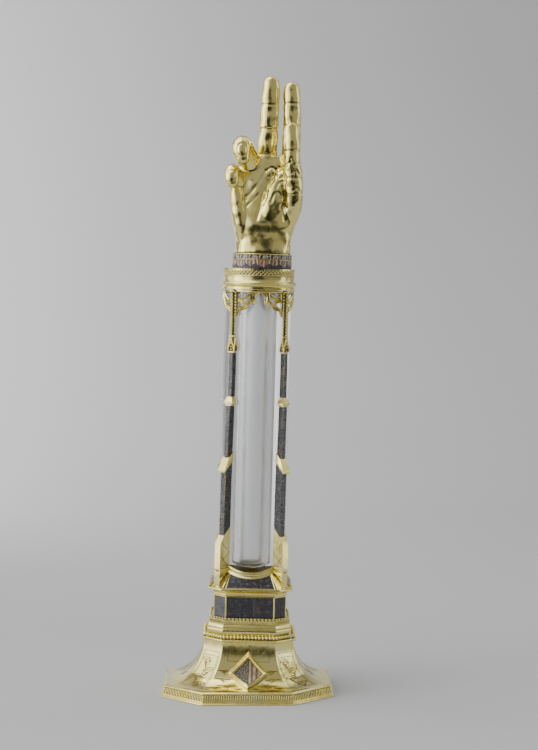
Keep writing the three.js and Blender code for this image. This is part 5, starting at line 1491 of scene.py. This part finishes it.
# How hollow the surface is: each point's mean neighbour minus itself along the normal, spread by averaging.
def cavityOf(points, faces, rounds):
    edges = np.concatenate([faces[:, [i, (i + 1) % 4]] for i in range(4)])
    edges = np.concatenate([edges, edges[:, ::-1]])
    count = np.bincount(edges[:, 0], minlength=len(points)).astype(float)

    def average(values):
        if values.ndim == 1:
            return np.bincount(edges[:, 0], values[edges[:, 1]], len(points)) / count
        return np.stack([average(values[:, i]) for i in range(values.shape[1])], -1)
    blurred = points.copy()
    for _ in range(rounds):
        blurred = average(blurred)
    across = points[faces[:, 2]] - points[faces[:, 0]]
    other = points[faces[:, 3]] - points[faces[:, 1]]
    faceNormal = np.cross(across, other)
    normal = np.zeros_like(points)
    for corner in range(4):
        for axis in range(3):
            normal[:, axis] += np.bincount(faces[:, corner], faceNormal[:, axis], len(points))
    normal /= np.linalg.norm(normal, axis=1, keepdims=True) + 1e-9
    height = ((blurred - points) * normal).sum(1)
    for _ in range(3):
        height = average(height)
    return np.clip((height - 0.12) / 0.7, 0, 1)


makeHand()


stageSizes = {"wallAt": 1.4, "halfWidth": 3.5, "bend": 0.9, "height": 3.2, "front": 0.8, "grey": 0.50}


# Paper sweep: level, then a quarter circle up to the wall, its distance with the sine and its height with one
# minus the cosine.
def makeFloor():
    s = stageSizes
    bend = [(s["wallAt"] + s["bend"] * math.sin(a), s["bend"] * (1 - math.cos(a)))
            for a in np.radians(np.linspace(0, 90, 16))]
    line = [(-s["front"], 0.0), (0.0, 0.0), (s["wallAt"] - 0.2, 0.0)] + bend
    line = np.array(line + [(s["wallAt"] + s["bend"], s["height"])])
    x = np.linspace(-s["halfWidth"], s["halfWidth"], 3)
    points = np.stack([np.stack([np.full(len(line), v), line[:, 0], line[:, 1]], -1) for v in x], 1)
    mesh = bpy.data.meshes.new("floor")
    mesh.from_pydata(points.reshape(-1, 3).tolist(), [], gridFaces(len(line), 3, False).tolist())
    mesh.shade_smooth()
    floor = bpy.data.objects.new("floor", mesh)
    bpy.context.scene.collection.objects.link(floor)
    material, tree, shader = newMaterial("paper")
    where = tree.nodes.new("ShaderNodeTexCoord").outputs["Object"]
    g = s["grey"]
    paper = mixOf(tree, noiseOf(tree, where, 3, 2), (g, g, g * 1.01), (g * 0.96, g * 0.96, g * 0.97))
    tree.links.new(paper, shader.inputs["Base Color"])
    shader.inputs["Roughness"].default_value = 0.8
    shader.inputs["Specular IOR Level"].default_value = 0.1
    mesh.materials.append(material)


lights = {     # name: place, aim, width, height, watts, colour
    "key": ((-1.5, -0.5, 0.9), (0, 0, 0.35), 0.9, 1.6, 10, (1.0, 0.99, 0.96)),
    "fill": ((1.7, -0.1, 0.8), (0, 0, 0.3), 0.5, 1.4, 3, (0.96, 0.98, 1.0)),
    "top": ((-0.6, 0.2, 2.3), (-0.2, 0.2, 0), 1.8, 1.4, 11, (1, 1, 1)),
    "wall": ((-1.2, 1.3, 0.75), (-0.55, 2.2, 0.4), 0.4, 1.4, 21, (1, 1, 1)),
}
roomStops = [      # degrees round from the camera side, negative to the left, and brightness
    (-180, 0.40), (-140, 1.2), (-115, 2.1), (-34, 1.9), (-22, 0.45), (20, 0.34), (75, 0.40), (100, 0.55),
    (122, 1.5), (180, 0.40),
]
roomDark = {"left": -16, "right": 12, "soft": 7, "share": 0.85, "below": 0.16, "floorShare": 0.2}


# Soft surroundings: brightness by direction, from the stops round the horizon, with a dimmer patch on the
# camera side below eye level and less light from under the horizon.
def makeRoom():
    world = bpy.data.worlds.new("room")
    world.use_nodes = True
    tree, s = world.node_tree, roomDark
    direction = tree.nodes.new("ShaderNodeSeparateXYZ")
    tree.links.new(tree.nodes.new("ShaderNodeTexCoord").outputs["Generated"], direction.inputs[0])
    x, y, z = direction.outputs
    bearing = mathOf(tree, "ARCTAN2", x, mathOf(tree, "MULTIPLY", y, -1.0))
    ramp = tree.nodes.new("ShaderNodeValToRGB")
    tree.links.new(rangeOf(tree, bearing, -math.pi, math.pi), ramp.inputs["Fac"])
    while len(ramp.color_ramp.elements) < len(roomStops):
        ramp.color_ramp.elements.new(0.5)
    for element, (degrees, grey) in zip(ramp.color_ramp.elements, roomStops):
        element.position = (degrees + 180) / 360
        element.color = (grey, grey, grey, 1)
    middle = (s["left"] + s["right"]) / 2
    away = mathOf(tree, "ABSOLUTE", mathOf(tree, "SUBTRACT", bearing, math.radians(middle)), 0.0)
    half = math.radians((s["right"] - s["left"]) / 2)
    patch = rangeOf(tree, away, half, half + math.radians(s["soft"]), s["share"], 0.0)
    low = rangeOf(tree, z, s["below"], s["below"] + 0.15, 1.0, 0.0)
    bright = mathOf(tree, "SUBTRACT", 1.0, mathOf(tree, "MULTIPLY", patch, low))
    bright = mathOf(tree, "MULTIPLY", bright, rangeOf(tree, z, -0.12, 0.06, s["floorShare"], 1.0))
    background = tree.nodes["Background"]
    tree.links.new(ramp.outputs["Color"], background.inputs["Color"])
    tree.links.new(bright, background.inputs["Strength"])
    bpy.context.scene.world = world


# Area lamps, each turned so that its -Z looks at its aim.
def makeLights():
    for name, (place, aim, width, height, watts, colour) in lights.items():
        lamp = bpy.data.lights.new(name, "AREA")
        lamp.shape, lamp.size, lamp.size_y = "RECTANGLE", width, height
        lamp.energy, lamp.color = watts, colour
        item = bpy.data.objects.new(name, lamp)
        item.location = place
        item.rotation_euler = (Vector(aim) - Vector(place)).to_track_quat("-Z", "Y").to_euler()
        bpy.context.scene.collection.objects.link(item)


cameraSizes = {"lens": 90.3, "place": (0.0, -1.926, 0.4107), "down": 1.256, "right": 0.6626, "shift": -0.06}


# The photo's camera, from the front and a little to the right, looking slightly down.
def makeCamera():
    s = cameraSizes
    camera = bpy.data.objects.new("camera", bpy.data.cameras.new("camera"))
    camera.data.lens, camera.data.sensor_width = s["lens"], 36
    camera.data.shift_y = s["shift"]
    camera.data.clip_start, camera.data.clip_end = 0.05, 30
    camera.location = s["place"]
    camera.rotation_euler = (math.radians(90 - s["down"]), 0, -math.radians(s["right"]))
    bpy.context.scene.collection.objects.link(camera)
    bpy.context.scene.camera = camera


makeFloor()
makeRoom()
makeLights()
makeCamera()
print("stage ready")
